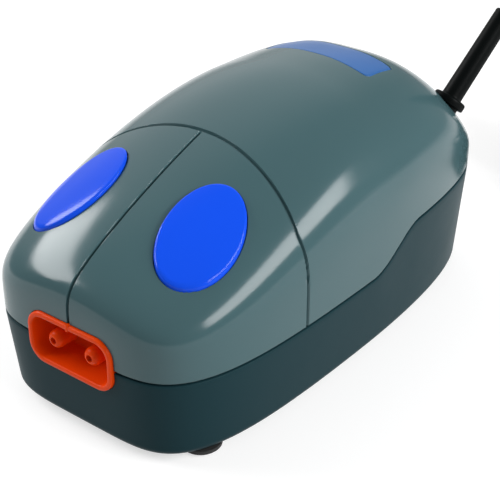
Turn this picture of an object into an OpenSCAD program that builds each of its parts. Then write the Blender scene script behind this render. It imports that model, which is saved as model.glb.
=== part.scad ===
// Aquarium air pump with two outlets: a rounded two-part housing on rubber feet, an electromagnet
// that swings two magnet arms, two rubber bellows on valve chambers, and a mains lead.
// The nose with its outlets points along -Y, the lead leaves the tail on the +X side, and Z is up.
// The origin lies on the table under the middle of the housing.

/* [Housing] */
// Length of the housing from nose to tail
body_l = 150; // [140:1:170]
// Width of the housing at its widest place
body_w = 80.8; // [76:0.2:92]
// Width of the housing at the nose
nose_w = 73.4; // [68:0.2:76]
// Width of the housing at the tail
tail_w = 67; // [62:0.2:76]
// How far the widest place lies behind the middle
widest_y = 3.2; // [-8:0.2:12]
// Height of the crown above the underside
crown_h = 72; // [66:0.5:84]
// How far the top of the crown lies behind the middle
peak_y = 14; // [4:0.5:22]
// Height of the top edge at the nose
nose_h = 44; // [41:0.5:50]
// Height of the top edge at the tail
tail_h = 44.5; // [42:0.5:50]
// Rise of the crown per millimetre at the nose
nose_slope = 0.43; // [0.3:0.01:0.6]
// Fall of the crown per millimetre at the tail
tail_slope = 1.5; // [1:0.05:2]
// Radius of the crown from side to side at the nose
nose_crown_r = 79; // [60:1:120]
// Radius of the crown from side to side at the tail
tail_crown_r = 44; // [38:1:80]
// Squareness of the plan at the nose
nose_n = 5.2; // [4:0.1:7]
// Squareness of the plan at the tail
tail_n = 5.7; // [4:0.1:7]
// Squareness of the shoulder along the sides
side_shoulder_n = 6; // [4.5:0.1:8]
// Squareness of the shoulder at the nose
nose_shoulder_n = 8.7; // [6:0.1:10]
// Squareness of the shoulder at the tail
tail_shoulder_n = 4; // [3.5:0.1:6]
// Wall thickness of the cover and the tray
wall = 2.5; // [2.2:0.1:3]
// How far the tray's walls lean in at the underside
draft = 1.6; // [0.8:0.1:2.4]
// Radius of the edge round the underside
under_r = 3; // [2:0.1:4]

/* [Parting line] */
// Height of the parting line at the nose, above the underside
seam_nose = 23.7; // [22:0.1:26]
// Height of the parting line at the tail, above the underside
seam_tail = 32.9; // [30:0.1:35]
// Place of the middle of the rise between the two heights
seam_y = 11.6; // [0:0.2:20]
// Length of the rise
seam_run = 23.3; // [16:0.1:32]
// Open gap between the cover and the tray
seam_gap = 0.6; // [0.2:0.05:0.8]
// Height of the tray's lip inside the cover
lip_h = 2.5; // [1.5:0.1:4]

/* [Cover details] */
// Width of the moulded grooves
groove_w = 1; // [0.6:0.1:1.4]
// Distance of the arched groove from the nose on the centre line
arch_in = 51.6; // [47:0.2:55]
// Radius of the arched groove in plan
arch_r = 95; // [80:1:120]
// Half width at which the arched groove turns down the side
arch_side = 36; // [34:0.2:36.6]
// Length of each oval pad
oval_l = 28; // [24:0.5:30]
// Width of each oval pad
oval_w = 19.6; // [16:0.2:22]
// Distance of each oval pad from the centre line
oval_x = 20.4; // [18.5:0.2:22]
// Distance of the middle of the oval pads from the nose
oval_in = 26.4; // [25:0.2:29]
// Turn of the oval pads, nose ends outwards
oval_turn = 6; // [0:1:12]
// How far the oval pads stand out of the cover
oval_raise = 1.1; // [0.6:0.1:2]
// Depth of the pads' recesses in the cover
recess_d = 1.2; // [0.8:0.1:1.6]
// Width of the bare label plate
label_w = 36; // [28:0.5:40]
// Length of the bare label plate
label_l = 13.4; // [10:0.2:16]
// Distance of the middle of the label plate from the tail
label_in = 41.8; // [37:0.2:47]
// Clearance round the pads and the plate
pad_clear = 0.25; // [0.15:0.05:0.4]

/* [Air outlets] */
// Height of the outlets above the underside
outlet_h = 24.2; // [23:0.1:25.4]
// Distance between the two outlet centres
outlet_span = 12.5; // [11.6:0.1:13.4]
// Outside diameter of the nozzles
nozzle_d = 4.9; // [4.5:0.1:5.2]
// Bore of the nozzles
bore_d = 2; // [1.6:0.1:2.6]
// Width of the outlet cowl
cowl_w = 28.8; // [27:0.2:31]
// Height of the outlet cowl
cowl_h = 15; // [14:0.2:16]
// Corner radius of the outlet cowl
cowl_r = 5.2; // [4.6:0.1:6]
// Wall thickness of the outlet cowl
cowl_wall = 1.5; // [1.2:0.1:1.8]
// Depth of the cowl's hollow
cowl_depth = 10; // [9:0.5:12]
// How far the cowl's rim stands out of the nose
rim_proud = 0.8; // [0.4:0.1:1.2]
// How far the nozzle tips lie behind the rim
tip_back = 0.9; // [0.5:0.1:2]
// Clearance between the cowl and the housing
cowl_clear = 0.2; // [0.1:0.05:0.3]
// Length of the spigots that the hoses fit on
spigot_l = 9; // [7:0.5:11]
// Wall thickness of the air hoses
hose_wall = 1; // [0.8:0.1:1.4]

/* [Feet and screws] */
// Height of the rubber feet below the underside
stand_h = 1.5; // [1:0.1:3]
// Diameter of the rubber feet
foot_d = 11; // [10:0.2:12]
// Distance of the front feet from the centre line
front_foot_x = 27.5; // [26:0.1:28]
// Distance of the front feet from the nose
front_foot_in = 16.5; // [16:0.1:18]
// Distance of the rear feet from the centre line
rear_foot_x = 21; // [20:0.1:22]
// Distance of the rear feet from the tail
rear_foot_in = 14; // [13.5:0.1:16]
// Diameter of the screws that close the housing
screw_d = 3; // [2.6:0.1:3.2]
// Depth of the screw wells in the underside
well_depth = 10; // [9:0.5:14]
// Diameter of the small screws inside
small_screw_d = 2.5; // [2:0.1:2.8]

/* [Air chambers] */
// Place of the chambers along the housing
chamber_y = -9; // [-11:0.2:-7]
// Length of each chamber
chamber_l = 30; // [28:0.5:32]
// Width of each chamber
chamber_w = 9.4; // [9:0.1:10]
// Height of each chamber
chamber_h = 34; // [33:0.5:38]
// Wall thickness of each chamber
chamber_wall = 2; // [1.5:0.1:2.4]
// Gap between the two chambers
chamber_gap = 1.2; // [1:0.1:2]
// Height of the pads that the inner parts stand on
pad_h = 5; // [4:0.1:5.5]
// Thickness of the valve plates
plate_t = 2.5; // [2:0.1:3]
// Distance of each valve from the bellows' axis
valve_off = 7; // [6:0.1:7.2]
// Diameter of the rubber valve flaps
flap_d = 7; // [6:0.1:7.4]
// Outside diameter of the bellows
bellows_d = 26; // [24:0.2:27]
// Length of the bellows between plate and arm
bellows_l = 8.2; // [7.6:0.1:9]

/* [Magnet arms] */
// Place of the arm pivots along the housing
pivot_y = -38; // [-39:0.2:-37]
// Thickness of the arms
arm_t = 2.5; // [2:0.1:3]
// Height of the arms
arm_h = 14; // [12:0.2:15]
// Diameter of the pivot pins
pin_d = 4; // [3:0.1:4.4]
// Running clearance round each pivot pin
pin_clear = 0.05; // [0.03:0.01:0.08]
// Gap between the arms and what they swing past
run_gap = 0.3; // [0.3:0.05:0.5]
// Thickness of the magnets
magnet_t = 4; // [3:0.1:5]
// Height of the magnets
magnet_h = 13; // [10:0.2:13.6]

/* [Electromagnet] */
// Place of the iron core along the housing
core_y = 34; // [32:0.2:36]
// Thickness of the iron core along the housing
core_l = 16; // [14:0.5:18]
// Height of the core's middle limb
limb_h = 10; // [9:0.1:11]
// Height of the core's pole shoes
shoe_h = 22; // [22:0.1:24]
// Thickness of the pole shoes
shoe_t = 3; // [2.5:0.1:3.5]
// Gap between the pole shoes and the magnets
pole_gap = 3; // [2.7:0.1:3.5]
// Thickness of the winding
winding_t = 4; // [3:0.1:4.2]
// Thickness of the strap that holds the core
strap_t = 1.5; // [1:0.1:2]

/* [Air filter] */
// Width of the intake filter
filter_w = 18; // [14:0.5:18.5]
// Length of the intake filter
filter_l = 22; // [18:0.5:22.5]
// Gap between the intake filter and the chambers' lugs
filter_gap = 2.5; // [1.5:0.1:3]
// Thickness of the filter's cover
filter_t = 1.5; // [1.2:0.1:1.6]
// Thickness of the felt
felt_t = 4; // [3:0.1:6]

/* [Mains lead] */
// Distance of the strain relief from the centre line
relief_x = 26.5; // [26:0.1:27]
// Distance of the strain relief from the tail
relief_from_tail = 16.5; // [15.5:0.1:17.5]
// Lean of the strain relief away from upright
relief_tilt = 38; // [34:1:42]
// Direction of that lean in plan
relief_turn = 69; // [64:1:74]
// Diameter of the strain relief's flange
flange_d = 10.2; // [9.6:0.1:11]
// Thickness of the strain relief's flange
flange_t = 2.5; // [2:0.1:3]
// Diameter of the strain relief's sleeve at the flange
sleeve_d = 6.3; // [5.8:0.1:6.8]
// Diameter of the sleeve at its end
sleeve_end_d = 5.8; // [5:0.1:6]
// Length of the strain relief outside the housing
sleeve_l = 32; // [30:0.5:34]
// Diameter of the mains lead
cord_d = 4.2; // [3.8:0.1:4.4]
// How far behind the tail the lead comes down
lead_back = 39.8; // [38:0.2:42]
// How far to the side of the centre line the lead comes down
lead_x = 27.7; // [27:0.1:29]
// Width of the plug
plug_w = 35; // [30:0.5:36]
// Thickness of the plug
plug_t = 13.6; // [12:0.1:14]
// Length of the plug's body
plug_l = 36; // [30:0.5:38]
// Width of the tie round the coil
tie_w = 5; // [3:0.5:8]

/* [Hidden] */
$fn = 48;

// Sides of the round details moulded into the housing
mould_fn = 24;
// Sides of the rings round the housing, and the rings' places as angles of the section
ring_sides = 72;
edge_angles = [0, 30, 60, 90];
section_angles = [0, 18, 30, 37, 42, 46, 50, 55, 61, 68, 76, 83];
// A length past every wall, for cuts that go right through
past = 20;
// Gap between pieces that seat on each other
seat_gap = 0.05;

half_l = body_l / 2;
arch_y = arch_in - half_l;
oval_y = oval_in - half_l;
label_y = half_l - label_in;
relief_y = half_l - relief_from_tail;
floor_z = stand_h + wall;
pad_z = floor_z + pad_h;
port_z = stand_h + outlet_h;
port_x = outlet_span / 2;
nozzle_r = nozzle_d / 2;
lip_clear = 0.15;

// Outlet cowl from its rim backwards
rim_y = -half_l - rim_proud;
hollow_y = rim_y + cowl_depth;
cowl_back_t = 1.5;
cowl_back_y = hollow_y + cowl_back_t;
lean_in = draft * (cowl_h / 2 + 2) / seam_nose;
cowl_flange_y = -half_l + wall + lean_in + cowl_clear;
cowl_flange_t = 1.5;
cowl_flange_over = 1.6;
tip_l = 1.8;
tip_r = 1.1;

// Stack of the pump's parts from the middle outwards
chamber_x0 = chamber_gap / 2;
chamber_x1 = chamber_x0 + chamber_w;
chamber_y0 = chamber_y - chamber_l / 2;
chamber_y1 = chamber_y + chamber_l / 2;
plate_x1 = chamber_x1 + plate_t;
arm_x = plate_x1 + bellows_l + run_gap;
pivot_x = arm_x + arm_t / 2;
pole_x = arm_x - magnet_t - pole_gap;
eye_wall = 2.5;
eye_r = pin_d / 2 + eye_wall;
arm_over = 1;
arm_end_y = core_y + core_l / 2 + arm_over;
valve_bore_r = 1.6;
flap_t = 0.8;
nipple_r = 2;

// Electromagnet
bobbin_t = 1;
bobbin_clear = 0.2;
bobbin_over = 0.3;
limb_x = pole_x - shoe_t;
bobbin_x = limb_x - bobbin_clear;
wound_y = core_l / 2 + bobbin_clear + bobbin_t;
wound_z = limb_h / 2 + bobbin_clear + bobbin_t;
strap_post_r = 3.5;
strap_post_y = wound_y + winding_t + bobbin_over + 0.5 + strap_post_r;
strap_z = port_z + shoe_h / 2;
strap_w = 12;

// Screws and what they go through
head_r = screw_d / 2 + 1.5;
head_h = 2.2;
post_r = screw_d / 2 + 3.7;
boss_r = screw_d / 2 + 2.5;
boss_h = 12;
thread_l = 7;
hole_clear = 0.1;
well_r = head_r + 0.7;
stub_h = 4;
small_r = small_screw_d / 2;
small_head_h = 1.8;
small_depth = 3.5;
lug_t = 3;
lug_r = small_r + 2;
rib_t = 2;
rib_l = 5;
rib_h = 10;
// The intake filter lies in front of the chambers, and its cover's edge rests in the tray
filter_frame = 1.5;
filter_y = chamber_y0 - 2 * lug_r - filter_gap - filter_l / 2;
foot_places = [
    [front_foot_x, -half_l + front_foot_in], [-front_foot_x, -half_l + front_foot_in],
    [rear_foot_x, half_l - rear_foot_in], [-rear_foot_x, half_l - rear_foot_in]
];
chamber_screw_places = [
    for (side = [-1, 1], y = [chamber_y0 - lug_r, chamber_y1 + lug_r]) [side * port_x, y]
];
strap_screw_places = [for (side = [-1, 1]) [0, core_y + side * strap_post_y]];

// Pivot brackets
ear_t = 3;
ear_over = 0.5;
ear_r = eye_r + ear_over;
ear_z0 = port_z - arm_h / 2 - run_gap;
ear_z1 = port_z + arm_h / 2 + run_gap;
bracket_wall = 3.5;
bracket_gap = 2;
bracket_y = pivot_y - eye_r - bracket_gap - bracket_wall;
bracket_foot_l = 10;
hose_clear = 1;
bracket_x0 = port_x + nozzle_r + hose_wall + hose_clear;
bracket_screw_places = [for (side = [-1, 1]) [side * (bracket_x0 + lug_r), bracket_y + bracket_foot_l / 2]];

// Strain relief: its seat on the cover, its axis, and where the lead leaves it
relief_axis = [
    sin(relief_tilt) * cos(relief_turn), sin(relief_tilt) * sin(relief_turn), cos(relief_tilt)
];
relief_sink = 0.4;
relief_seat = [relief_x, relief_y, skin_z(relief_x, relief_y)] - relief_sink * relief_axis;
relief_side = [sin(relief_turn), -cos(relief_turn), 0];
relief_neck = 0.7;
relief_hole_r = sleeve_d / 2 + relief_neck;
relief_in = 10;
grip_l = 3.6;
collar_l = 1.4;
collar_lead = 0.6;
sleeve_end = relief_seat + sleeve_l * relief_axis;
relief_end = relief_seat - relief_in * relief_axis;
lead_r = 0.7;
lead_out = 6.5;
lead_up = 3;
lead_end = [lead_out, core_y + wound_y + winding_t, port_z + lead_up];
lead_step = 1.2;

// The free stretch of the lead: over the top of a bend, straight down and along the table. The
// bend's points are shares of the way behind the tail, from the place where the lead comes down.
lead_y = half_l + lead_back;
lead_rise = 8.4;
bend_top = sleeve_end[2] + lead_rise;
bend_shares = [
    [0.183, -0.8, -0.063], [0.188, -0.623, 0], [0.158, -0.435, -0.03], [0.108, -0.259, -0.138],
    [0.058, -0.12, -0.327], [0.018, -0.033, -0.578]
];
drop_shares = [1, 0.8, 0.6, 0.4];
foot_shares = [[0.117, 0.418], [0.375, 0.136]];
drop_z = bend_top - 0.85 * lead_back;
cord_r = cord_d / 2;
cord_sides = 8;
loop_sides = 6;
span_steps = 2;

// The coil winds in and out again in layers, from the table upwards, and its end bends to the plug
coil_layers = 4;
coil_turns = 1.625;
coil_in_r = 16;
coil_pitch = cord_d + 0.5;
coil_bulge = 1.2;
loop_rings = 24;
coil_out_r = coil_in_r + coil_turns * coil_pitch;
entry_a = 30;
entry_way = [cos(entry_a), sin(entry_a)];
entry_run = 25.5;
coil_start_a = entry_a - 90;
coil_mid = [lead_x, lead_y] + entry_run * entry_way - coil_out_r * [cos(coil_start_a), sin(coil_start_a)];
layer_span = coil_turns + 0.5;
coil_span = coil_layers * layer_span - 0.5;
tie_t = 0.8;
tie_clear = 0.2;
tie_a = coil_start_a + 270;
coil_z = tie_t + tie_clear + cord_r;
coil_top_z = coil_z + (coil_layers - 1) * coil_pitch;
plug_z = coil_top_z + cord_r + tie_clear + plug_t / 2;
lift_sweep = 40;
tail_r = 12;
tail_run = 5;
tail_sweep = 90;
tail_step = 13;
tail_from_a = coil_start_a + 360 * (coil_span - floor(coil_span)) + lift_sweep;
lift_r = coil_out_r + coil_pitch * lift_sweep / 360;
tail_mid = coil_mid + (lift_r - tail_r) * [cos(tail_from_a), sin(tail_from_a)];
tail_end_a = tail_from_a + tail_sweep;
plug_way = [-sin(tail_end_a), cos(tail_end_a)];
plug_flat = tail_mid + tail_r * [cos(tail_end_a), sin(tail_end_a)] + tail_run * plug_way;
plug_place = [plug_flat[0], plug_flat[1], plug_z];
pin_span = 19;
pin_r = 2;
pin_l = 19;

// Plan, parting line and crown of the housing
function unit(a, n) = pow(pow(abs(cos(a)), n) + pow(abs(sin(a)), n), -1 / n) * [cos(a), sin(a)];
function smooth(t) = let (u = max(0, min(1, t))) u * u * (3 - 2 * u);
function ease(t, z0, z1, m0, m1) =
    (2 * t * t * t - 3 * t * t + 1) * z0 + (t * t * t - 2 * t * t + t) * m0
    + (3 * t * t - 2 * t * t * t) * z1 + (t * t * t - t * t) * m1;
function half_side(y) =
    let (end_y = y < widest_y ? -half_l : half_l)
    let (end_w = y < widest_y ? nose_w : tail_w)
    let (t = (y - widest_y) / (end_y - widest_y))
    body_w / 2 - (body_w - end_w) / 2 * t * t;
function plan_n(y) = y > 0 ? tail_n : nose_n;
function edge_x(y) = half_side(y) * pow(max(0, 1 - pow(abs(y) / half_l, plan_n(y))), 1 / plan_n(y));
function shoulder_n(a) =
    let (end_n = sin(a) > 0 ? tail_shoulder_n : nose_shoulder_n)
    side_shoulder_n + (end_n - side_shoulder_n) * pow(sin(a), 4);
function seam_z(y) =
    stand_h + seam_nose + (seam_tail - seam_nose) * smooth((y - seam_y) / seam_run + 0.5);
function crown_z(y) =
    let (nose_span = half_l + peak_y)
    let (tail_span = half_l - peak_y)
    stand_h + (y < peak_y
        ? ease((y + half_l) / nose_span, nose_h, crown_h, nose_slope * nose_span, 0)
        : ease((y - peak_y) / tail_span, crown_h, tail_h, 0, -tail_slope * tail_span));
function camber(y) = let (t = y / body_l + 0.5) (1 - t) / (2 * nose_crown_r) + t / (2 * tail_crown_r);
function top_z(x, y) = crown_z(y) - camber(y) * x * x;

// Height of the cover's skin over a place in plan, found from how far out that place lies
function in_plan(x, y) = abs(y) < half_l && abs(x) < edge_x(y);
function reach(x, y, low = 0, high = 1, tries = 20) =
    let (c = (low + high) / 2)
    tries == 0 ? c
    : in_plan(x / c, y / c) ? reach(x, y, low, c, tries - 1)
    : reach(x, y, c, high, tries - 1);
function plan_angle(x, y) = atan2(y / half_l, x / half_side(y));
function rise(c, n) = pow(max(0, 1 - pow(c, n)), 1 / n);
function skin_z(x, y) =
    let (c = reach(x, y))
    let (s = rise(c, shoulder_n(plan_angle(x / c, y / c))))
    seam_z(y / c) * (1 - s) + top_z(x, y) * s;

// Rings of points round the housing, at a distance inside its outer skin
function outline(a, inset) =
    let (u = unit(a, a < 180 ? tail_n : nose_n))
    [(half_side(half_l * u[1]) - inset) * u[0], (half_l - inset) * u[1]];
function lower_ring(b, inset) =
    let (r = max(under_r - inset, 0.4))
    [for (i = [0:ring_sides - 1])
        let (o = outline(i * 360 / ring_sides, inset + draft + r * (1 - sin(b))))
        [o[0], o[1], stand_h + inset + r * (1 - cos(b))]];
function upper_point(a, b, inset) =
    let (o = outline(a, inset))
    let (c = unit(b, shoulder_n(a)))
    let (p = c[0] * o)
    [p[0], p[1], seam_z(o[1]) * (1 - c[1]) + (top_z(p[0], p[1]) - inset) * c[1]];
function upper_ring(b, inset) = [for (i = [0:ring_sides - 1]) upper_point(i * 360 / ring_sides, b, inset)];

// Closed solids through rings of points, from the lowest ring to the highest
function ring_at(n, j, i) = 2 + j * n + i % n;
module loft(rings, low, high) {
    n = len(rings[0]);
    last = len(rings) - 1;
    low_fan = [for (i = [0:n - 1]) [0, ring_at(n, 0, i), ring_at(n, 0, i + 1)]];
    high_fan = [for (i = [0:n - 1]) [1, ring_at(n, last, i + 1), ring_at(n, last, i)]];
    sides = [for (j = [0:last - 1], i = [0:n - 1], first = [true, false])
        first ? [ring_at(n, j, i), ring_at(n, j + 1, i), ring_at(n, j + 1, i + 1)]
        : [ring_at(n, j, i), ring_at(n, j + 1, i + 1), ring_at(n, j, i + 1)]];
    polyhedron(concat([low, high], [for (ring = rings) each ring]), concat(low_fan, high_fan, sides));
}
module body_skin(inset) {
    rings = concat(
        [for (b = edge_angles) lower_ring(b, inset)],
        [for (b = section_angles) upper_ring(b, inset)]
    );
    loft(rings, [0, 0, stand_h + inset], [0, 0, top_z(0, 0) - inset]);
}

// Tubes along points
function unit_of(v) = v / norm(v);
function along(points, first, last) =
    [for (i = [0:len(points) - 1])
        i == 0 ? first : i == len(points) - 1 ? last : unit_of(points[i + 1] - points[i - 1])];
function squared(v, t) = unit_of(v - (v * t) * t);
function carried(ways, start) =
    [for (i = 0, v = squared(start, ways[0]); i < len(ways);
        v = squared(v, ways[min(i + 1, len(ways) - 1)]), i = i + 1) v];
function between(a, b, c, d, t) =
    b + t / 2 * (c - a + t * (2 * a - 5 * b + 4 * c - d + t * (3 * b - 3 * c + d - a)));
function curve(p, steps) =
    let (last = len(p) - 1)
    concat([for (i = [0:last - 1], k = [0:steps - 1])
        between(i == 0 ? 2 * p[0] - p[1] : p[i - 1], p[i], p[i + 1],
            i == last - 1 ? 2 * p[last] - p[last - 1] : p[i + 2], k / steps)], [p[last]]);
module tube(points, first, last, start, r, sides) {
    ways = along(points, first, last);
    ups = carried(ways, start);
    rings = [for (i = [0:len(points) - 1])
        [for (k = [0:sides - 1])
            let (a = 360 * k / sides)
            points[i] + r * (cos(a) * ups[i] + sin(a) * cross(ways[i], ups[i]))]];
    loft(rings, points[0], points[len(points) - 1]);
}

// Plain helpers
module rounded_rect(w, h, r) {
    square([w - 2 * r, h], center = true);
    square([w, h - 2 * r], center = true);
    for (x = [-1, 1], y = [-1, 1]) {
        translate([x * (w / 2 - r), y * (h / 2 - r)]) circle(r);
    }
}
module along_x(x0, x1) {
    translate([x0, 0, 0]) rotate([90, 0, 90]) linear_extrude(x1 - x0) children();
}
module along_y(y0, y1) {
    translate([0, y1, 0]) rotate([90, 0, 0]) linear_extrude(y1 - y0) children();
}
module block(low, high) {
    translate(low) cube(high - low);
}
module rod_x(y, z, x0, x1, r) {
    translate([x0, y, z]) rotate([0, 90, 0]) cylinder(h = x1 - x0, r = r);
}
module rod_y(x, z, y0, y1, r) {
    translate([x, y1, z]) rotate([90, 0, 0]) cylinder(h = y1 - y0, r = r);
}
module rod_z(place, z0, z1, r) {
    translate([place[0], place[1], z0]) cylinder(h = z1 - z0, r = r);
}
module small_screw(place, seat) {
    rod_z(place, seat - lug_t - small_depth, seat + seat_gap, small_r);
    rod_z(place, seat, seat + small_head_h, small_r + 1.2);
}
module on_relief() {
    translate(relief_seat) rotate([0, relief_tilt, relief_turn]) children();
}

// Everything below the parting line, or up to a height above it
module below_seam(lift) {
    steps = 16;
    rise_line = [for (i = [0:steps])
        let (y = seam_y + seam_run * (0.5 - i / steps))
        [y, seam_z(y) + lift]];
    nose_corner = [[-body_l, seam_z(-half_l) + lift], [-body_l, -past]];
    tail_corner = [[body_l, -past], [body_l, seam_z(half_l) + lift]];
    along_x(-body_w, body_w) polygon(concat(tail_corner, rise_line, nose_corner));
}
module cowl_shape(grow) {
    translate([0, port_z]) rounded_rect(cowl_w + 2 * grow, cowl_h + 2 * grow, cowl_r + grow);
}
module cowl_opening() {
    along_y(rim_y - past, cowl_flange_y) cowl_shape(cowl_clear);
}

// Patches that follow the cover's skin: shares of an outline at heights over the skin
module skin_patch(rim, mid, levels) {
    rings = [for (level = levels)
        [for (p = rim) let (q = mid + level[0] * p) [q[0], q[1], skin_z(q[0], q[1]) + level[1]]]];
    mid_z = skin_z(mid[0], mid[1]);
    loft(rings, [mid[0], mid[1], mid_z + levels[0][1]], [mid[0], mid[1], mid_z + levels[len(levels) - 1][1]]);
}
function turned(p, a) = [p[0] * cos(a) - p[1] * sin(a), p[0] * sin(a) + p[1] * cos(a)];
function oval_rim(grow) =
    [for (a = [0:10:350]) turned([(oval_w / 2 + grow) * cos(a), (oval_l / 2 + grow) * sin(a)], oval_turn)];
function label_rim(grow) =
    [for (a = [0:7.5:352.5])
        let (u = unit(a, 14))
        [(label_w / 2 + grow) * u[0], (label_l / 2 + grow) * u[1]]];
function recess_levels(depth) = [[0.5, -depth], [1, -depth], [1, past / 4], [0.5, past / 4]];
oval_levels = [
    [0.5, -recess_d], [1, -recess_d], [1, oval_raise - 0.6], [0.985, oval_raise - 0.25],
    [0.95, oval_raise - 0.05], [0.85, oval_raise + 0.05], [0.6, oval_raise + 0.15], [0.3, oval_raise + 0.2]
];
label_levels = [
    [0.4, -recess_d], [0.7, -recess_d], [1, -recess_d], [1, -0.3], [0.985, -0.15], [0.7, -0.15], [0.4, -0.15]
];

// Moulded grooves: one down the middle of the nose, and an arch over the cover and down its sides
nose_n_here = shoulder_n(270);
nose_top_z = top_z(0, -half_l);
groove_foot = (port_z + cowl_h / 2 - seam_z(-half_l)) / (nose_top_z - seam_z(-half_l));
groove_head = -arch_y / half_l;
groove_a0 = atan2(groove_foot, rise(groove_foot, nose_n_here));
groove_a1 = atan2(rise(groove_head, nose_n_here), groove_head);
middle_groove = [for (i = [0:12]) upper_point(270, groove_a0 + (groove_a1 - groove_a0) * i / 12, 0)];
function arch_plan(x) = arch_y - x * x / (2 * arch_r);
arch_end_y = arch_plan(arch_side);
arch_half = [for (i = [0:9]) let (x = arch_side * i / 9) [x, arch_plan(x), skin_z(x, arch_plan(x))]];
function side_point(s) =
    let (c = rise(s, side_shoulder_n))
    let (x = c * edge_x(arch_end_y / c))
    [x, arch_end_y, seam_z(arch_end_y) * (1 - s) + top_z(x, arch_end_y) * s];
arch_side_s = rise(reach(arch_side, arch_end_y), side_shoulder_n);
arch_drop = [for (i = [1:6]) side_point(arch_side_s * (1 - i / 6))];
module groove(points) {
    for (i = [0:len(points) - 2]) {
        hull() {
            translate(points[i]) sphere(d = groove_w, $fn = 6);
            translate(points[i + 1]) sphere(d = groove_w, $fn = 6);
        }
    }
}

// Housing
module boss_rib(place) {
    side = sign(place[0]);
    top = seam_z(place[1]) + boss_h;
    rod_z(place, 0, top, boss_r);
    block([min(place[0], side * body_w / 2), place[1] - rib_t / 2, 0],
        [max(place[0], side * body_w / 2), place[1] + rib_t / 2, top]);
}
module top_cover() {
    $fn = mould_fn;
    color("SlateGray") difference() {
        union() {
            difference() {
                body_skin(0);
                body_skin(wall);
            }
            intersection() {
                body_skin(wall / 2);
                union() {
                    for (place = foot_places) {
                        boss_rib(place);
                    }
                }
            }
        }
        below_seam(seam_gap / 2);
        intersection() {
            body_skin(wall / 2);
            below_seam(lip_h + 2 * seam_gap);
        }
        cowl_opening();
        for (place = foot_places) {
            rod_z(place, 0, seam_z(place[1]) + thread_l + 1, screw_d / 2 + hole_clear);
        }
        groove(middle_groove);
        for (side = [0, 1]) {
            mirror([side, 0, 0]) {
                groove(concat(arch_half, arch_drop));
                skin_patch(oval_rim(pad_clear), [oval_x, oval_y], recess_levels(recess_d + seat_gap));
            }
        }
        skin_patch(label_rim(pad_clear), [0, label_y], recess_levels(recess_d + seat_gap));
        on_relief() {
            cylinder(h = past, r = flange_d / 2 + pad_clear);
            translate([0, 0, -past / 2]) cylinder(h = past, r = relief_hole_r);
        }
    }
}
module post_ribs(place) {
    for (way = [[-sign(place[0]), 0], [0, -sign(place[1])]]) {
        far = place + (post_r + rib_l) * way;
        hull() {
            rod_z(place, floor_z - 1, floor_z + rib_h, rib_t / 2, $fn = 16);
            rod_z(far, floor_z - 1, floor_z + 1, rib_t / 2, $fn = 16);
        }
    }
}
module core_saddle() {
    hull() {
        block([limb_x, core_y - core_l / 2, floor_z - 1], [pole_x, core_y + core_l / 2, strap_z - shoe_h]);
        block([limb_x - rib_t, core_y - core_l / 2, floor_z - 1], [pole_x + rib_t, core_y + core_l / 2, floor_z + 1]);
    }
}
module tray_fittings() {
    for (place = foot_places) {
        rod_z(place, stand_h, seam_z(place[1]) + 1, post_r);
        post_ribs(place);
    }
    for (place = chamber_screw_places) {
        rod_z(place, floor_z - 1, pad_z, lug_r);
    }
    for (place = strap_screw_places) {
        rod_z(place, floor_z - 1, strap_z, strap_post_r);
    }
    for (side = [0, 1]) {
        mirror([side, 0, 0]) {
            core_saddle();
            block([bracket_x0, bracket_y, floor_z - 1],
                [pivot_x + ear_r, bracket_y + bracket_foot_l, pad_z]);
        }
    }
}
module tray_pilot(place, seat) {
    rod_z(place, seat - small_depth - 0.5, seat + past, small_r + hole_clear);
}
module base_tray() {
    $fn = mould_fn;
    color("DarkSlateGray") difference() {
        union() {
            intersection() {
                union() {
                    difference() {
                        body_skin(0);
                        body_skin(wall);
                    }
                    intersection() {
                        body_skin(wall / 2);
                        tray_fittings();
                    }
                }
                below_seam(-seam_gap / 2);
            }
            intersection() {
                difference() {
                    body_skin(wall / 2 + lip_clear);
                    body_skin(wall);
                }
                below_seam(lip_h);
            }
        }
        cowl_opening();
        for (place = foot_places) {
            rod_z(place, -past, stand_h + well_depth, well_r);
            rod_z(place, -past, seam_z(place[1]) + past, screw_d / 2 + hole_clear);
        }
        for (place = concat(chamber_screw_places, bracket_screw_places)) {
            tray_pilot(place, pad_z);
        }
        for (place = strap_screw_places) {
            tray_pilot(place, strap_z);
        }
        translate([0, filter_y, 0]) {
            linear_extrude(stand_h + filter_t) filter_plan(filter_frame + hole_clear);
            linear_extrude(floor_z + 1) filter_plan(0);
        }
    }
}
module right_oval_pad() {
    color("RoyalBlue") skin_patch(oval_rim(0), [oval_x, oval_y], oval_levels);
}
module left_oval_pad() {
    mirror([1, 0, 0]) right_oval_pad();
}
module label_plate() {
    color("CornflowerBlue") skin_patch(label_rim(0), [0, label_y], label_levels);
}
module rubber_feet() {
    chamfer = 0.5;
    stub_r = well_r - 2 * hole_clear;
    profile = [
        [0, 0], [foot_d / 2 - chamfer, 0], [foot_d / 2, chamfer], [foot_d / 2, stand_h],
        [stub_r, stand_h], [stub_r, stand_h + stub_h], [0, stand_h + stub_h]
    ];
    color("DimGray") for (place = foot_places) {
        translate([place[0], place[1], 0]) rotate_extrude() polygon(profile);
    }
}
module cover_screws() {
    seat = stand_h + well_depth;
    color("Silver") for (place = foot_places) {
        rod_z(place, seat - head_h, seat, head_r);
        rod_z(place, seat - head_h, seam_z(place[1]) + thread_l, screw_d / 2);
    }
}

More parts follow.
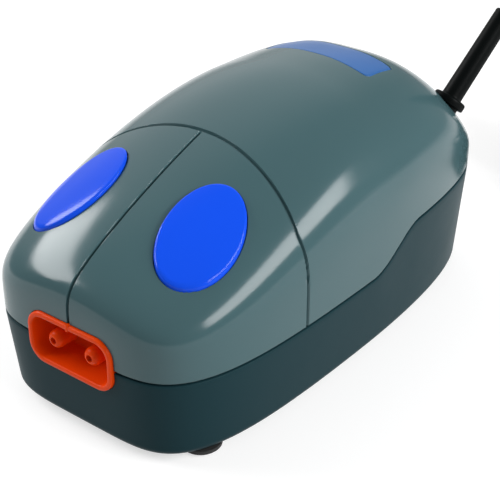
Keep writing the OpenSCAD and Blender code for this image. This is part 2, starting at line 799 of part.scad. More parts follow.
// Outlets and hoses
module nozzle() {
    straight = hollow_y - rim_y - tip_back - tip_l;
    tip = [for (a = [0:18:90]) [tip_r + (nozzle_r - tip_r) * cos(a), straight + tip_l * sin(a)]];
    profile = concat([[0, 0], [nozzle_r, 0]], tip, [[0, straight + tip_l]]);
    rotate([90, 0, 0]) rotate_extrude() polygon(profile);
}
module outlet_fitting() {
    tick = 0.9;
    color("OrangeRed") difference() {
        union() {
            difference() {
                union() {
                    along_y(rim_y, cowl_back_y) cowl_shape(0);
                    along_y(cowl_flange_y, cowl_flange_y + cowl_flange_t) cowl_shape(cowl_flange_over);
                }
                along_y(rim_y - past, hollow_y) cowl_shape(-cowl_wall);
            }
            block([-tick / 2, rim_y - hole_clear, port_z + cowl_h / 2 - cowl_wall - hole_clear],
                [tick / 2, rim_y + cowl_wall, port_z + cowl_h / 2 + hole_clear]);
            for (side = [-1, 1]) {
                translate([side * port_x, hollow_y, port_z]) nozzle();
                rod_y(side * port_x, port_z, cowl_back_y - 1, cowl_back_y + spigot_l, nozzle_r);
            }
        }
        for (side = [-1, 1]) {
            rod_y(side * port_x, port_z, rim_y - past, cowl_back_y + past, bore_d / 2);
        }
    }
}
module right_hose() {
    y0 = cowl_back_y + seat_gap;
    y1 = chamber_y0 - seat_gap;
    color("LightGray") difference() {
        rod_y(port_x, port_z, y0, y1, nozzle_r + hose_wall);
        rod_y(port_x, port_z, y0 - 1, y1 + 1, nozzle_r + seat_gap);
    }
}
module left_hose() {
    mirror([1, 0, 0]) right_hose();
}

// Air chambers with their valves and bellows
module right_chamber() {
    color("Gainsboro") difference() {
        union() {
            block([chamber_x0, chamber_y0, pad_z], [chamber_x1, chamber_y1, pad_z + chamber_h]);
            block([port_x - lug_r, chamber_y0 - lug_r, pad_z], [port_x + lug_r, chamber_y1 + lug_r, pad_z + lug_t]);
            for (y = [chamber_y0 - lug_r, chamber_y1 + lug_r]) {
                rod_z([port_x, y], pad_z, pad_z + lug_t, lug_r);
            }
            rod_y(port_x, port_z, chamber_y0 - spigot_l, chamber_y0 + 1, nozzle_r);
        }
        block([chamber_x0 + chamber_wall, chamber_y0 + chamber_wall, port_z - valve_off / 2],
            [chamber_x1 + 1, chamber_y1 - chamber_wall, pad_z + chamber_h - chamber_wall]);
        rod_x(chamber_y, port_z - valve_off, chamber_x0 - 1, chamber_x1 + 1, valve_bore_r);
        rod_y(port_x, port_z, chamber_y0 - past, chamber_y0 + chamber_wall + 1, bore_d / 2);
        for (y = [chamber_y0 - lug_r, chamber_y1 + lug_r]) {
            rod_z([port_x, y], pad_z - 1, pad_z + lug_t + 1, small_r + hole_clear);
        }
    }
}
module left_chamber() {
    mirror([1, 0, 0]) right_chamber();
}
module right_valve_plate() {
    color("WhiteSmoke") difference() {
        block([chamber_x1, chamber_y0, pad_z], [plate_x1, chamber_y1, pad_z + chamber_h]);
        for (side = [-1, 1]) {
            rod_x(chamber_y, port_z + side * valve_off, chamber_x1 - 1, plate_x1 + 1, valve_bore_r);
        }
    }
}
module left_valve_plate() {
    mirror([1, 0, 0]) right_valve_plate();
}
module right_valve_flaps() {
    color("Black") {
        rod_x(chamber_y, port_z + valve_off, chamber_x1 - flap_t, chamber_x1, flap_d / 2);
        rod_x(chamber_y, port_z - valve_off, plate_x1, plate_x1 + flap_t, flap_d / 2);
    }
}
module left_valve_flaps() {
    mirror([1, 0, 0]) right_valve_flaps();
}
module right_bellows() {
    r = bellows_d / 2;
    button_r = 4.6;
    bulb_r = 3.4;
    bulb_z = bellows_l + 2 * run_gap + arm_t;
    inner = [
        [0, bellows_l - 2.6], [button_r + 1.5, bellows_l - 3], [r - 2.9, 4.2], [r - 2, 3.6], [r - 3, 2.2],
        [r - 1.6, 0]
    ];
    outer = [
        [r, 0], [r, 1.6], [r - 1.6, 2.2], [r - 0.6, 3.7], [r - 1.6, 5], [button_r + 2.4, bellows_l - 1.7],
        [button_r, bellows_l - 1.2], [button_r, bellows_l], [nipple_r, bellows_l], [nipple_r, bulb_z],
        [bulb_r, bulb_z], [bulb_r - 0.8, bulb_z + 2], [0, bulb_z + 2]
    ];
    color("Black") translate([plate_x1, chamber_y, port_z]) rotate([0, 90, 0])
        rotate_extrude() polygon(concat(inner, outer));
}
module left_bellows() {
    mirror([1, 0, 0]) right_bellows();
}
module chamber_screws() {
    color("Silver") for (place = chamber_screw_places) {
        small_screw(place, pad_z + lug_t);
    }
}

// Pivots and magnet arms
module right_pivot_bracket() {
    color("LightSteelBlue") difference() {
        union() {
            block([pivot_x - ear_r, bracket_y, pad_z], [pivot_x + ear_r, bracket_y + bracket_wall, ear_z1 + ear_t]);
            block([bracket_x0, bracket_y, pad_z], [pivot_x + ear_r, bracket_y + bracket_foot_l, pad_z + lug_t]);
            for (z = [ear_z0 - ear_t, ear_z1]) {
                block([pivot_x - ear_r, bracket_y, z], [pivot_x + ear_r, pivot_y, z + ear_t]);
                rod_z([pivot_x, pivot_y], z, z + ear_t, ear_r);
            }
        }
        rod_z([pivot_x, pivot_y], ear_z0 - ear_t - 1, ear_z1 + ear_t + 1, pin_d / 2 + seat_gap / 2);
        rod_z(bracket_screw_places[1], pad_z - 1, pad_z + lug_t + 1, small_r + hole_clear);
    }
}
module left_pivot_bracket() {
    mirror([1, 0, 0]) right_pivot_bracket();
}
module right_pivot_pin() {
    color("Silver") {
        rod_z([pivot_x, pivot_y], ear_z0 - ear_t - 1, ear_z1 + ear_t, pin_d / 2);
        rod_z([pivot_x, pivot_y], ear_z1 + ear_t, ear_z1 + ear_t + 1.2, pin_d / 2 + 1);
    }
}
module left_pivot_pin() {
    mirror([1, 0, 0]) right_pivot_pin();
}
module bracket_screws() {
    color("Silver") for (place = bracket_screw_places) {
        small_screw(place, pad_z + lug_t);
    }
}
module right_arm() {
    low = port_z - arm_h / 2;
    high = port_z + arm_h / 2;
    color("SteelBlue") difference() {
        union() {
            block([arm_x, pivot_y, low], [arm_x + arm_t, arm_end_y, high]);
            rod_z([pivot_x, pivot_y], low, high, eye_r);
        }
        rod_z([pivot_x, pivot_y], low - 1, high + 1, pin_d / 2 + pin_clear);
        rod_x(chamber_y, port_z, arm_x - 1, arm_x + arm_t + 1, nipple_r + run_gap);
    }
}
module left_arm() {
    mirror([1, 0, 0]) right_arm();
}
module right_magnet() {
    color("DarkGray") block([arm_x - magnet_t, core_y - core_l / 2, port_z - magnet_h / 2],
        [arm_x, core_y + core_l / 2, port_z + magnet_h / 2]);
}
module left_magnet() {
    mirror([1, 0, 0]) right_magnet();
}

// Electromagnet
module iron_core() {
    color("Gray") along_y(core_y - core_l / 2, core_y + core_l / 2) translate([0, port_z]) {
        square([2 * pole_x, limb_h], center = true);
        for (side = [-1, 1]) {
            translate([side * (pole_x - shoe_t / 2), 0]) square([shoe_t, shoe_h], center = true);
        }
    }
}
module wound_shape(over) {
    translate([core_y, port_z]) square([2 * (wound_y + over), 2 * (wound_z + over)], center = true);
}
module coil_bobbin() {
    color("Ivory") difference() {
        union() {
            along_x(-bobbin_x, bobbin_x) wound_shape(0);
            for (x = [-bobbin_x, bobbin_x - bobbin_t]) {
                along_x(x, x + bobbin_t) wound_shape(winding_t + bobbin_over);
            }
        }
        along_x(-bobbin_x - 1, bobbin_x + 1) wound_shape(-bobbin_t);
    }
}
module coil_winding() {
    corner = 3;
    w = 2 * (wound_y + winding_t);
    h = 2 * (wound_z + winding_t);
    color("Peru") along_x(-bobbin_x + bobbin_t, bobbin_x - bobbin_t) difference() {
        translate([core_y, port_z]) rounded_rect(w, h, corner);
        wound_shape(0);
    }
}
module core_strap() {
    color("Silver") difference() {
        union() {
            block([-pole_x, core_y - core_l / 2, strap_z], [pole_x, core_y + core_l / 2, strap_z + strap_t]);
            block([-strap_w / 2, core_y - strap_post_y - strap_post_r, strap_z],
                [strap_w / 2, core_y + strap_post_y + strap_post_r, strap_z + strap_t]);
        }
        for (place = strap_screw_places) {
            rod_z(place, strap_z - 1, strap_z + strap_t + 1, small_r + hole_clear);
        }
    }
}
module strap_screws() {
    color("Gainsboro") for (place = strap_screw_places) {
        rod_z(place, strap_z - small_depth, strap_z + strap_t + seat_gap, small_r);
        rod_z(place, strap_z + strap_t, strap_z + strap_t + small_head_h, small_r + 1.2);
    }
}
module coil_leads() {
    color("Firebrick") for (side = [-1, 1]) {
        from = relief_end + side * lead_step * relief_side - seat_gap * relief_axis;
        to = lead_end + side * lead_step * [1, 0, 0];
        halfway = [(2 * from[0] + to[0]) / 3, (from[1] + to[1]) / 2 + 2 * lead_r, (from[2] + to[2]) / 2];
        points = [
            from, from - 4 * lead_r * relief_axis, halfway, to + lead_r * [3, 5, 1.5],
            to + 3 * lead_r * [0, 1, 0], to
        ];
        tube(curve(points, 3), -relief_axis, [0, -1, 0], [1, 0, 0], lead_r, cord_sides);
    }
}

// Air filter in the underside
module filter_plan(over) {
    square([filter_w + 2 * over, filter_l + 2 * over], center = true);
}
module filter_cover() {
    slots = 4;
    slot_w = 1.6;
    pitch = filter_w / slots;
    color("DarkSlateGray") translate([0, filter_y, stand_h]) difference() {
        linear_extrude(filter_t) filter_plan(filter_frame);
        for (i = [0:slots - 1]) {
            translate([(i + 0.5) * pitch - filter_w / 2, 0, -1])
                linear_extrude(filter_t + 2) square([slot_w, filter_l - 4], center = true);
        }
    }
}
module filter_felt() {
    color("White") translate([0, filter_y, stand_h + filter_t])
        linear_extrude(felt_t) filter_plan(-2 * hole_clear);
}

// Mains lead
module strain_relief() {
    collar_r = relief_hole_r + collar_lead;
    neck_r = relief_hole_r - lip_clear;
    collar_end = grip_l + collar_l + collar_lead;
    flange_r = flange_d / 2;
    profile = [
        [0, -relief_in], [sleeve_d / 2, -relief_in], [sleeve_d / 2, -collar_end],
        [collar_r, -grip_l - collar_l], [collar_r, -grip_l], [neck_r, -grip_l], [neck_r, seat_gap],
        [flange_r, seat_gap], [flange_r, flange_t - relief_neck], [flange_r - relief_neck, flange_t],
        [sleeve_d / 2 + collar_lead, flange_t], [sleeve_d / 2, flange_t + relief_neck],
        [sleeve_end_d / 2, sleeve_l], [0, sleeve_l]
    ];
    color("Black") on_relief() rotate_extrude() polygon(profile);
}
foot_run = entry_run - cord_d;
function foot_point(run, up) = [lead_x + run * entry_way[0], lead_y + run * entry_way[1], coil_z + up];
coil_from = foot_point(foot_run, 0);
entry_dir = [entry_way[0], entry_way[1], 0];
route = concat(
    [for (p = bend_shares) [lead_x, lead_y, bend_top] + lead_back * p],
    [for (share = drop_shares) [lead_x, lead_y, drop_z * share]],
    [for (p = foot_shares) foot_point(foot_run * p[0], foot_run * p[1])]
);
module mains_cord() {
    points = concat(
        [sleeve_end, sleeve_end + cord_d * relief_axis], route,
        [coil_from - 1.5 * cord_d * entry_dir, coil_from]
    );
    color("Black") tube(curve(points, span_steps), relief_axis, entry_dir, [1, 0, 0], cord_r, cord_sides);
}
function coil_point(t) =
    let (layer = min(floor(t / layer_span), coil_layers - 1))
    let (into = t - layer * layer_span)
    let (winds_in = layer % 2 == 0)
    let (climb = max(0, into - coil_turns) / 0.5)
    let (shrink = coil_pitch * min(into, coil_turns) + coil_bulge * sin(180 * climb))
    let (r = winds_in ? coil_out_r - shrink : coil_in_r + shrink)
    let (a = coil_start_a + 360 * t)
    [coil_mid[0] + r * cos(a), coil_mid[1] + r * sin(a), coil_z + coil_pitch * (layer + smooth(climb))];
loops = [for (i = [0:floor(coil_span * loop_rings)]) coil_point(i / loop_rings)];
tail_a0 = tail_from_a - lift_sweep;
tail_l = coil_out_r * lift_sweep + tail_r * (tail_end_a - tail_from_a);
tail = [for (a = [tail_a0 + tail_step:tail_step:tail_end_a])
    let (lifting = a < tail_from_a)
    let (run = lifting ? coil_out_r * (a - tail_a0) : tail_l - tail_r * (tail_end_a - a))
    let (z = coil_top_z + (plug_z - coil_top_z) * smooth(run / tail_l))
    let (lift = lift_r - coil_pitch * (tail_from_a - a) / 360)
    let (flat = lifting ? coil_mid + lift * [cos(a), sin(a)] : tail_mid + tail_r * [cos(a), sin(a)])
    [flat[0], flat[1], z]];
plug_dir = [plug_way[0], plug_way[1], 0];
coil_line = concat([coil_from], loops, tail, [plug_place - cord_d * plug_dir, plug_place]);
near = ceil(loop_rings / 2);
coil_gap = min([for (i = [0:len(coil_line) - 1 - near], j = [i + near:len(coil_line) - 1])
    norm(coil_line[i] - coil_line[j])]) - cord_d;
module cord_coil() {
    echo(least_gap_in_coil = coil_gap);
    color("Black") tube(coil_line, entry_dir, plug_dir, [0, 0, 1], cord_r, loop_sides);
}
module cord_tie() {
    r0 = coil_in_r - coil_bulge - cord_r - tie_clear;
    r1 = coil_out_r + coil_bulge + cord_r + tie_clear;
    z1 = coil_top_z + cord_r + tie_clear;
    w = r1 - r0;
    h = z1 - tie_t;
    color("DarkSlateGray") translate([coil_mid[0], coil_mid[1], 0]) rotate([0, 0, tie_a])
        translate([(r0 + r1) / 2, 0, (z1 + tie_t) / 2]) along_y(-tie_w / 2, tie_w / 2) difference() {
            rounded_rect(w + 2 * tie_t, h + 2 * tie_t, cord_r);
            rounded_rect(w, h, cord_r - tie_t);
        }
}
module on_plug() {
    translate(plug_place) rotate([0, 0, tail_end_a + 90]) children();
}
module plug_slice(x, w, h, r) {
    on_plug() translate([x, 0, 0]) along_x(-0.5, 0.5) rounded_rect(w, h, r, $fn = 24);
}
module plug_body() {
    corner = 4;
    color("Black") hull() {
        plug_slice(0.5, cord_d + 4, cord_d + 4, cord_r + 1);
        plug_slice(plug_l * 0.45, plug_w * 0.7, plug_t, corner);
        plug_slice(plug_l - 3, plug_w, plug_t, corner);
        plug_slice(plug_l - 0.5, plug_w - 2, plug_t - 2, corner - 1);
    }
}
module plug_pins() {
    color("Silver") for (side = [-1, 1]) {
        on_plug() translate([plug_l + pin_l, side * pin_span / 2, 0]) rotate([0, -90, 0]) {
            translate([0, 0, pin_r / 2]) cylinder(h = pin_l - pin_r / 2, r = pin_r);
            cylinder(h = pin_r / 2 + seat_gap, r1 = pin_r / 2, r2 = pin_r);
        }
    }
}

top_cover();
base_tray();
left_oval_pad();
right_oval_pad();
label_plate();
outlet_fitting();
rubber_feet();
cover_screws();
iron_core();
coil_bobbin();
coil_winding();
core_strap();
strap_screws();
coil_leads();
left_chamber();
right_chamber();
left_valve_plate();
right_valve_plate();
left_valve_flaps();
right_valve_flaps();
left_bellows();
right_bellows();
left_hose();
right_hose();
chamber_screws();
left_pivot_bracket();
right_pivot_bracket();
left_pivot_pin();
right_pivot_pin();
bracket_screws();
left_arm();
right_arm();
left_magnet();
right_magnet();
filter_cover();
filter_felt();
strain_relief();
mains_cord();
cord_coil();
cord_tie();
plug_body();
plug_pins();
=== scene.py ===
"""Dresses an aquarium air pump: its moulded housing, blue pads, outlet cowl and mains lead."""

import math

import bmesh
import bpy
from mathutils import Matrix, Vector
from mathutils.kdtree import KDTree


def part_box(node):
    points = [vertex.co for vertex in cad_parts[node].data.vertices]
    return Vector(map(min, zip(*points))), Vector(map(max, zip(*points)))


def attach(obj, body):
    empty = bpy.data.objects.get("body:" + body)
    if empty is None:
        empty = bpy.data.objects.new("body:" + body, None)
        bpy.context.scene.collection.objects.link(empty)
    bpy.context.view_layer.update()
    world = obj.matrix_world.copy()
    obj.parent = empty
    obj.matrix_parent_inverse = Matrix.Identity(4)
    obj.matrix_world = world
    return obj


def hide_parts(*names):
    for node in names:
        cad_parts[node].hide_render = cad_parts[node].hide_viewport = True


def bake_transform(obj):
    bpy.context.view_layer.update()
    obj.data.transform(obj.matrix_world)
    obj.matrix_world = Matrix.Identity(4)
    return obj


bl_info = {
    "name": "Aquarium air pump",
    "version": (1, 0, 0),
    "blender": (4, 5, 0),
    "location": "View3D > Sidebar > Air pump",
    "description": "Models the looks of an aquarium air pump round its solids",
    "category": "Object",
}

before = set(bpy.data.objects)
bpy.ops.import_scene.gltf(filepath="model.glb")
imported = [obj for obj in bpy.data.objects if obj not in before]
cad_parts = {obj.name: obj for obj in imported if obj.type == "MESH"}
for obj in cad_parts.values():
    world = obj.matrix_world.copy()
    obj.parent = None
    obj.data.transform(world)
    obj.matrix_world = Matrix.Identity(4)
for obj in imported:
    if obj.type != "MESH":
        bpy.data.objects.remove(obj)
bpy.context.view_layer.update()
MM = 0.001
TOUCH = 0.001 * MM  # closer than this is the same place
SQUARE_ON = 0.9  # least share of a normal along an axis for a face that looks that way
SHELL_CREASE = math.radians(40)  # edges of the shells and the cowl that bend more stay sharp
HOUSING = "housing"


# Sizes and colours that a user would change


def length(name, description, default):
    """A size in millimetres, kept in metres."""
    return bpy.props.FloatProperty(
        name=name, description=description, default=default * MM, unit="LENGTH", precision=5
    )


def number(name, description, default):
    return bpy.props.FloatProperty(name=name, description=description, default=default)


def turn(name, description, default):
    """An angle in degrees, kept in radians."""
    return bpy.props.FloatProperty(
        name=name, description=description, default=math.radians(default), unit="ROTATION"
    )


def colour(name, description, default):
    return bpy.props.FloatVectorProperty(
        name=name, description=description, default=default, subtype="COLOR", size=3, min=0, max=1
    )


class PumpHousing(bpy.types.PropertyGroup):
    """Sizes of the two-part housing"""

    body_l: length("Length", "Length of the housing from nose to tail", 150)
    body_w: length("Width", "Width of the housing at its widest place", 80.8)
    nose_w: length("Nose width", "Width of the housing at the nose", 73.4)
    tail_w: length("Tail width", "Width of the housing at the tail", 67)
    widest_y: length("Widest place", "How far the widest place lies behind the middle", 3.2)
    crown_h: length("Crown height", "Height of the crown above the underside", 72)
    peak_y: length("Crown place", "How far the top of the crown lies behind the middle", 14)
    nose_h: length("Nose height", "Height of the top edge at the nose", 44)
    tail_h: length("Tail height", "Height of the top edge at the tail", 44.5)
    nose_slope: number("Nose slope", "Rise of the crown at the nose", 0.43)
    tail_slope: number("Tail slope", "Fall of the crown at the tail", 1.5)
    nose_crown_r: length("Nose crown", "Radius of the crown from side to side at the nose", 79)
    tail_crown_r: length("Tail crown", "Radius of the crown from side to side at the tail", 44)
    nose_n: number("Nose squareness", "Squareness of the plan at the nose", 5.2)
    tail_n: number("Tail squareness", "Squareness of the plan at the tail", 5.7)
    side_shoulder_n: number("Side shoulder", "Squareness of the shoulder along the sides", 6)
    nose_shoulder_n: number("Nose shoulder", "Squareness of the shoulder at the nose", 8.7)
    tail_shoulder_n: number("Tail shoulder", "Squareness of the shoulder at the tail", 4)
    wall: length("Wall", "Wall thickness of the cover and the tray", 2.5)
    draft: length("Draft", "How far the tray's walls lean in at the underside", 1.6)
    under_r: length("Under edge", "Radius of the edge round the underside", 3)
    stand_h: length("Foot height", "Height of the rubber feet below the underside", 1.5)
    seam_nose: length("Nose seam", "Height of the parting line at the nose", 23.7)
    seam_tail: length("Tail seam", "Height of the parting line at the tail", 32.9)
    seam_y: length("Seam rise", "Place of the middle of the parting line's rise", 11.6)
    seam_run: length("Seam run", "Length of the parting line's rise", 23.3)
    seam_gap: length("Seam gap", "Open gap between the cover and the tray", 0.6)
    edge_r: length("Edge", "Rounding of the moulded rims", 0.35)


class PumpDetails(bpy.types.PropertyGroup):
    """Sizes of what is moulded into the cover or set in it"""

    groove_w: length("Groove width", "Width of the moulded grooves", 1.0)
    groove_d: length("Groove depth", "Depth of the moulded grooves", 0.8)
    arch_y: length("Arch place", "Place of the arched groove on the centre line", -23.4)
    arch_r: length("Arch radius", "Radius of the arched groove in plan", 95)
    arch_side: length("Arch half width", "Half width at which the arch turns down the side", 36)
    oval_l: length("Oval length", "Length of each oval pad", 28)
    oval_w: length("Oval width", "Width of each oval pad", 19.6)
    oval_x: length("Oval distance", "Distance of each oval pad from the centre line", 20.4)
    oval_y: length("Oval place", "Place of the oval pads along the housing", -48.6)
    oval_turn: turn("Oval turn", "Turn of the oval pads, nose ends outwards", 6)
    oval_raise: length("Oval raise", "How far the oval pads stand out of the cover", 1.1)
    recess_d: length("Recess", "Depth of the pads' recesses in the cover", 1.2)
    pad_clear: length("Pad clearance", "Clearance round the pads and the plate", 0.25)
    label_w: length("Plate width", "Width of the bare label plate", 36)
    label_l: length("Plate length", "Length of the bare label plate", 13.4)
    label_y: length("Plate place", "Place of the label plate along the housing", 33.2)
    outlet_h: length("Outlet height", "Height of the outlets above the underside", 24.2)
    outlet_span: length("Outlet span", "Distance between the two outlet centres", 12.5)
    nozzle_d: length("Nozzle", "Outside diameter of the nozzles", 4.9)
    bore_d: length("Bore", "Bore of the nozzles", 2)
    cowl_w: length("Cowl width", "Width of the outlet cowl", 28.8)
    cowl_h: length("Cowl height", "Height of the outlet cowl", 15)
    cowl_r: length("Cowl corner", "Corner radius of the outlet cowl", 5.2)
    cowl_wall: length("Cowl wall", "Wall thickness of the outlet cowl", 1.5)
    cowl_depth: length("Cowl depth", "Depth of the cowl's hollow", 10)
    rim_proud: length("Rim", "How far the cowl's rim stands out of the nose", 0.8)
    tip_back: length("Tip", "How far the nozzle tips lie behind the rim", 0.9)
    cowl_clear: length("Cowl clearance", "Clearance between the cowl and the housing", 0.2)
    spigot_l: length("Spigot", "Length of the spigots that the hoses fit on", 9)
    bellows_l: length("Bellows", "Length of the bellows between the valve plate and the arm", 8.2)


class PumpLead(bpy.types.PropertyGroup):
    """Sizes of the mains lead"""

    relief_x: length("Relief side", "Distance of the strain relief from the centre line", 26.5)
    relief_y: length("Relief place", "Place of the strain relief along the housing", 58.5)
    relief_tilt: turn("Relief tilt", "Tilt of the strain relief from upright", 38)
    relief_turn: turn("Relief turn", "Heading of the strain relief in plan", 69)
    flange_d: length("Flange", "Diameter of the strain relief's flange", 10.2)
    flange_t: length("Flange thickness", "Thickness of the strain relief's flange", 2.5)
    sleeve_d: length("Sleeve", "Diameter of the sleeve at the flange", 6.3)
    sleeve_end_d: length("Sleeve end", "Diameter of the sleeve at its end", 5.8)
    sleeve_l: length("Sleeve length", "Length of the sleeve", 32)
    cord_d: length("Lead", "Diameter of the lead", 4.2)
    lead_x: length("Lead side", "How far to the side of the centre line the lead comes down", 27.7)
    lead_back: length("Lead back", "How far behind the tail the lead comes down", 39.8)
    lead_rise: length("Lead rise", "How far the lead rises above its sleeve", 8.4)
    tie_w: length("Tie", "Width of the tie round the coil", 5)
    plug_w: length("Plug width", "Width of the plug", 35)
    plug_t: length("Plug thickness", "Thickness of the plug", 13.6)
    plug_l: length("Plug length", "Length of the plug without its pins", 36)


class PumpFinish(bpy.types.PropertyGroup):
    """Colours of the pump"""

    cover: colour("Cover", "Glossy grey plastic of the cover", (0.055, 0.114, 0.126))
    tray: colour("Tray", "Satin slate plastic of the tray", (0.011, 0.036, 0.044))
    pad: colour("Pads", "Blue plastic of the oval pads", (0.006, 0.080, 0.81))
    plate: colour("Plate", "Blue plastic of the label plate", (0.03, 0.13, 0.38))
    cowl: colour("Cowl", "Orange plastic of the outlets", (0.86, 0.062, 0.001))
    black: colour("Lead", "Black plastic of the lead", (0.002, 0.003, 0.003))


class PumpStage(bpy.types.PropertyGroup):
    """Camera and lamps"""

    camera_x: length("Camera X", "Place of the camera", 184.29)
    camera_y: length("Camera Y", "Place of the camera", -238.07)
    camera_z: length("Camera Z", "Height of the camera", 192.25)
    aim_y: length("Aim Y", "Place that the camera looks at", -3.41)
    aim_z: length("Aim Z", "Height that the camera looks at", 21.97)
    lens: number("Lens", "Focal length of the camera in millimetres", 85.53)
    right_power: number("Right lamp", "Power of the long lamp on the right", 8.6)
    left_power: number("Left lamp", "Power of the lamp at the nose's left", 6.8)
    fill: number("Fill", "Strength of the light from all round", 0.32)
    back: number("Back", "Strength of the added light from behind the left side", 1.05)
    glow: number("Floor", "How much the floor is lit up for the camera", 0.6)


GROUPS = {
    "pump_housing": PumpHousing,
    "pump_details": PumpDetails,
    "pump_lead": PumpLead,
    "pump_finish": PumpFinish,
    "pump_stage": PumpStage,
}


# The free-form outside of the housing


def smooth(t):
    t = min(1.0, max(0.0, t))
    return t * t * (3 - 2 * t)


def squared_unit(angle, n):
    """A point of the curve between a circle and a square, by its direction."""
    c, s = math.cos(angle), math.sin(angle)
    k = (abs(c) ** n + abs(s) ** n) ** (-1 / n)
    return k * c, k * s


def eased(t, start, end, start_slope, end_slope):
    """A cubic from one value to another, with its slopes at both ends."""
    return (
        (2 * t**3 - 3 * t * t + 1) * start
        + (t**3 - 2 * t * t + t) * start_slope
        + (3 * t * t - 2 * t**3) * end
        + (t**3 - t * t) * end_slope
    )


class Skin:
    """The outside of the housing, by its plan, its parting line and its crown."""

    def __init__(self, sizes):
        self.sizes = sizes
        self.half_l = sizes.body_l / 2

    def half_side(self, y):
        s = self.sizes
        end_y, end_w = (-self.half_l, s.nose_w) if y < s.widest_y else (self.half_l, s.tail_w)
        t = (y - s.widest_y) / (end_y - s.widest_y)
        return s.body_w / 2 - (s.body_w - end_w) / 2 * t * t

    def plan_n(self, y):
        return self.sizes.tail_n if y > 0 else self.sizes.nose_n

    def edge_x(self, y):
        n = self.plan_n(y)
        return self.half_side(y) * max(0.0, 1 - (abs(y) / self.half_l) ** n) ** (1 / n)

    def shoulder_n(self, a):
        s = self.sizes
        end_n = s.tail_shoulder_n if math.sin(a) > 0 else s.nose_shoulder_n
        return s.side_shoulder_n + (end_n - s.side_shoulder_n) * math.sin(a) ** 4

    def seam_z(self, y):
        s = self.sizes
        rise = smooth((y - s.seam_y) / s.seam_run + 0.5)
        return s.stand_h + s.seam_nose + (s.seam_tail - s.seam_nose) * rise

    def crown_z(self, y):
        s = self.sizes
        nose, tail = self.half_l + s.peak_y, self.half_l - s.peak_y
        if y < s.peak_y:
            z = eased((y + self.half_l) / nose, s.nose_h, s.crown_h, s.nose_slope * nose, 0)
        else:
            z = eased((y - s.peak_y) / tail, s.crown_h, s.tail_h, 0, -s.tail_slope * tail)
        return s.stand_h + z

    def top_z(self, x, y):
        s = self.sizes
        t = y / s.body_l + 0.5
        bend = (1 - t) / (2 * s.nose_crown_r) + t / (2 * s.tail_crown_r)
        return self.crown_z(y) - bend * x * x

    def outline(self, a, inset):
        u = squared_unit(a, self.sizes.tail_n if math.sin(a) > 0 else self.sizes.nose_n)
        return (self.half_side(self.half_l * u[1]) - inset) * u[0], (self.half_l - inset) * u[1]

    def upper(self, a, b, inset=0.0, lift=0.0):
        """A point of the cover: a goes round, b goes up from the parting line to the crown."""
        o = self.outline(a, inset)
        c = squared_unit(b, self.shoulder_n(a))
        x, y = c[0] * o[0], c[0] * o[1]
        z = (self.seam_z(o[1]) + lift) * (1 - c[1]) + (self.top_z(x, y) - inset) * c[1]
        return Vector((x, y, z))

    def lower(self, a, b, inset=0.0, lift=0.0):
        """A point of the tray: b goes down from the parting line to the middle of the underside."""
        s = self.sizes
        t = -b / (math.pi / 2)
        wall_share, edge_share, least_r = 0.35, 0.65, 0.4 * MM
        r = max(s.under_r - inset, least_r)
        if t <= wall_share:
            k = t / wall_share
            o = self.outline(a, inset + s.draft * k)
            rim_z = self.seam_z(self.outline(a, inset)[1]) - lift
            return Vector((o[0], o[1], rim_z + (s.stand_h + inset + r - rim_z) * k))
        if t <= edge_share:
            k = (t - wall_share) / (edge_share - wall_share) * math.pi / 2
            o = self.outline(a, inset + s.draft + r * (1 - math.cos(k)))
            return Vector((o[0], o[1], s.stand_h + inset + r * (1 - math.sin(k))))
        k = (1 - t) / (1 - edge_share)
        o = self.outline(a, inset + s.draft + r)
        return Vector((o[0] * k, o[1] * k, s.stand_h + inset))

    def reach(self, x, y):
        """How far out a place in plan lies, from 0 in the middle to 1 at the outline."""
        low, high = 0.0, 1.0
        for _ in range(32):
            c = (low + high) / 2
            inside = abs(y / c) < self.half_l and abs(x / c) < self.edge_x(y / c)
            low, high = (low, c) if inside else (c, high)
        return max(high, 1e-9)

    def height(self, x, y):
        c = self.reach(x, y)
        a = math.atan2(y / c / self.half_l, x / c / self.half_side(y / c))
        n = self.shoulder_n(a)
        s = max(0.0, 1 - c**n) ** (1 / n)
        return self.seam_z(y / c) * (1 - s) + self.top_z(x, y) * s


# Modelling by hand


def only(piece):
    """Selects one object and nothing else."""
    if bpy.context.object and bpy.context.object.mode != "OBJECT":
        bpy.ops.object.mode_set(mode="OBJECT")
    bpy.ops.object.select_all(action="DESELECT")
    piece.select_set(True)
    bpy.context.view_layer.objects.active = piece
    return piece


def started(name, add, **settings):
    """A new primitive, alone in the selection."""
    bpy.ops.object.select_all(action="DESELECT")
    add(**settings)
    piece = bpy.context.active_object
    piece.name = name
    piece.data.name = name
    return piece


class Editing:
    """Edit mode on one piece, with its mesh at hand for choosing faces and edges by place."""

    def __init__(self, piece, mode="FACE"):
        self.piece = piece
        self.mode = mode

    def __enter__(self):
        only(self.piece)
        bpy.ops.object.mode_set(mode="EDIT")
        bpy.ops.mesh.select_mode(type=self.mode)
        bpy.ops.mesh.select_all(action="DESELECT")
        return self

    def choose(self, test):
        """Selects the faces, edges or vertices that pass a test on their middle or place."""
        mesh = bmesh.from_edit_mesh(self.piece.data)
        for part in {"FACE": mesh.faces, "EDGE": mesh.edges, "VERT": mesh.verts}[self.mode]:
            part.select_set(bool(test(part)))
        mesh.select_flush_mode()
        bmesh.update_edit_mesh(self.piece.data)

    def __exit__(self, *_):
        bpy.ops.object.mode_set(mode="OBJECT")


def along(edge, axis):
    """Does an edge run along one of the three axes?"""
    way = (edge.verts[1].co - edge.verts[0].co).normalized()
    return abs(way[axis]) > 0.999


def lies(edge, axis, at):
    """Do both ends of an edge lie at one place along an axis?"""
    return all(abs(vert.co[axis] - at) < TOUCH for vert in edge.verts)


def nearest(points):
    """A search tree for the nearest of some points."""
    tree = KDTree(len(points))
    for i, point in enumerate(points):
        tree.insert(point, i)
    tree.balance()
    return tree


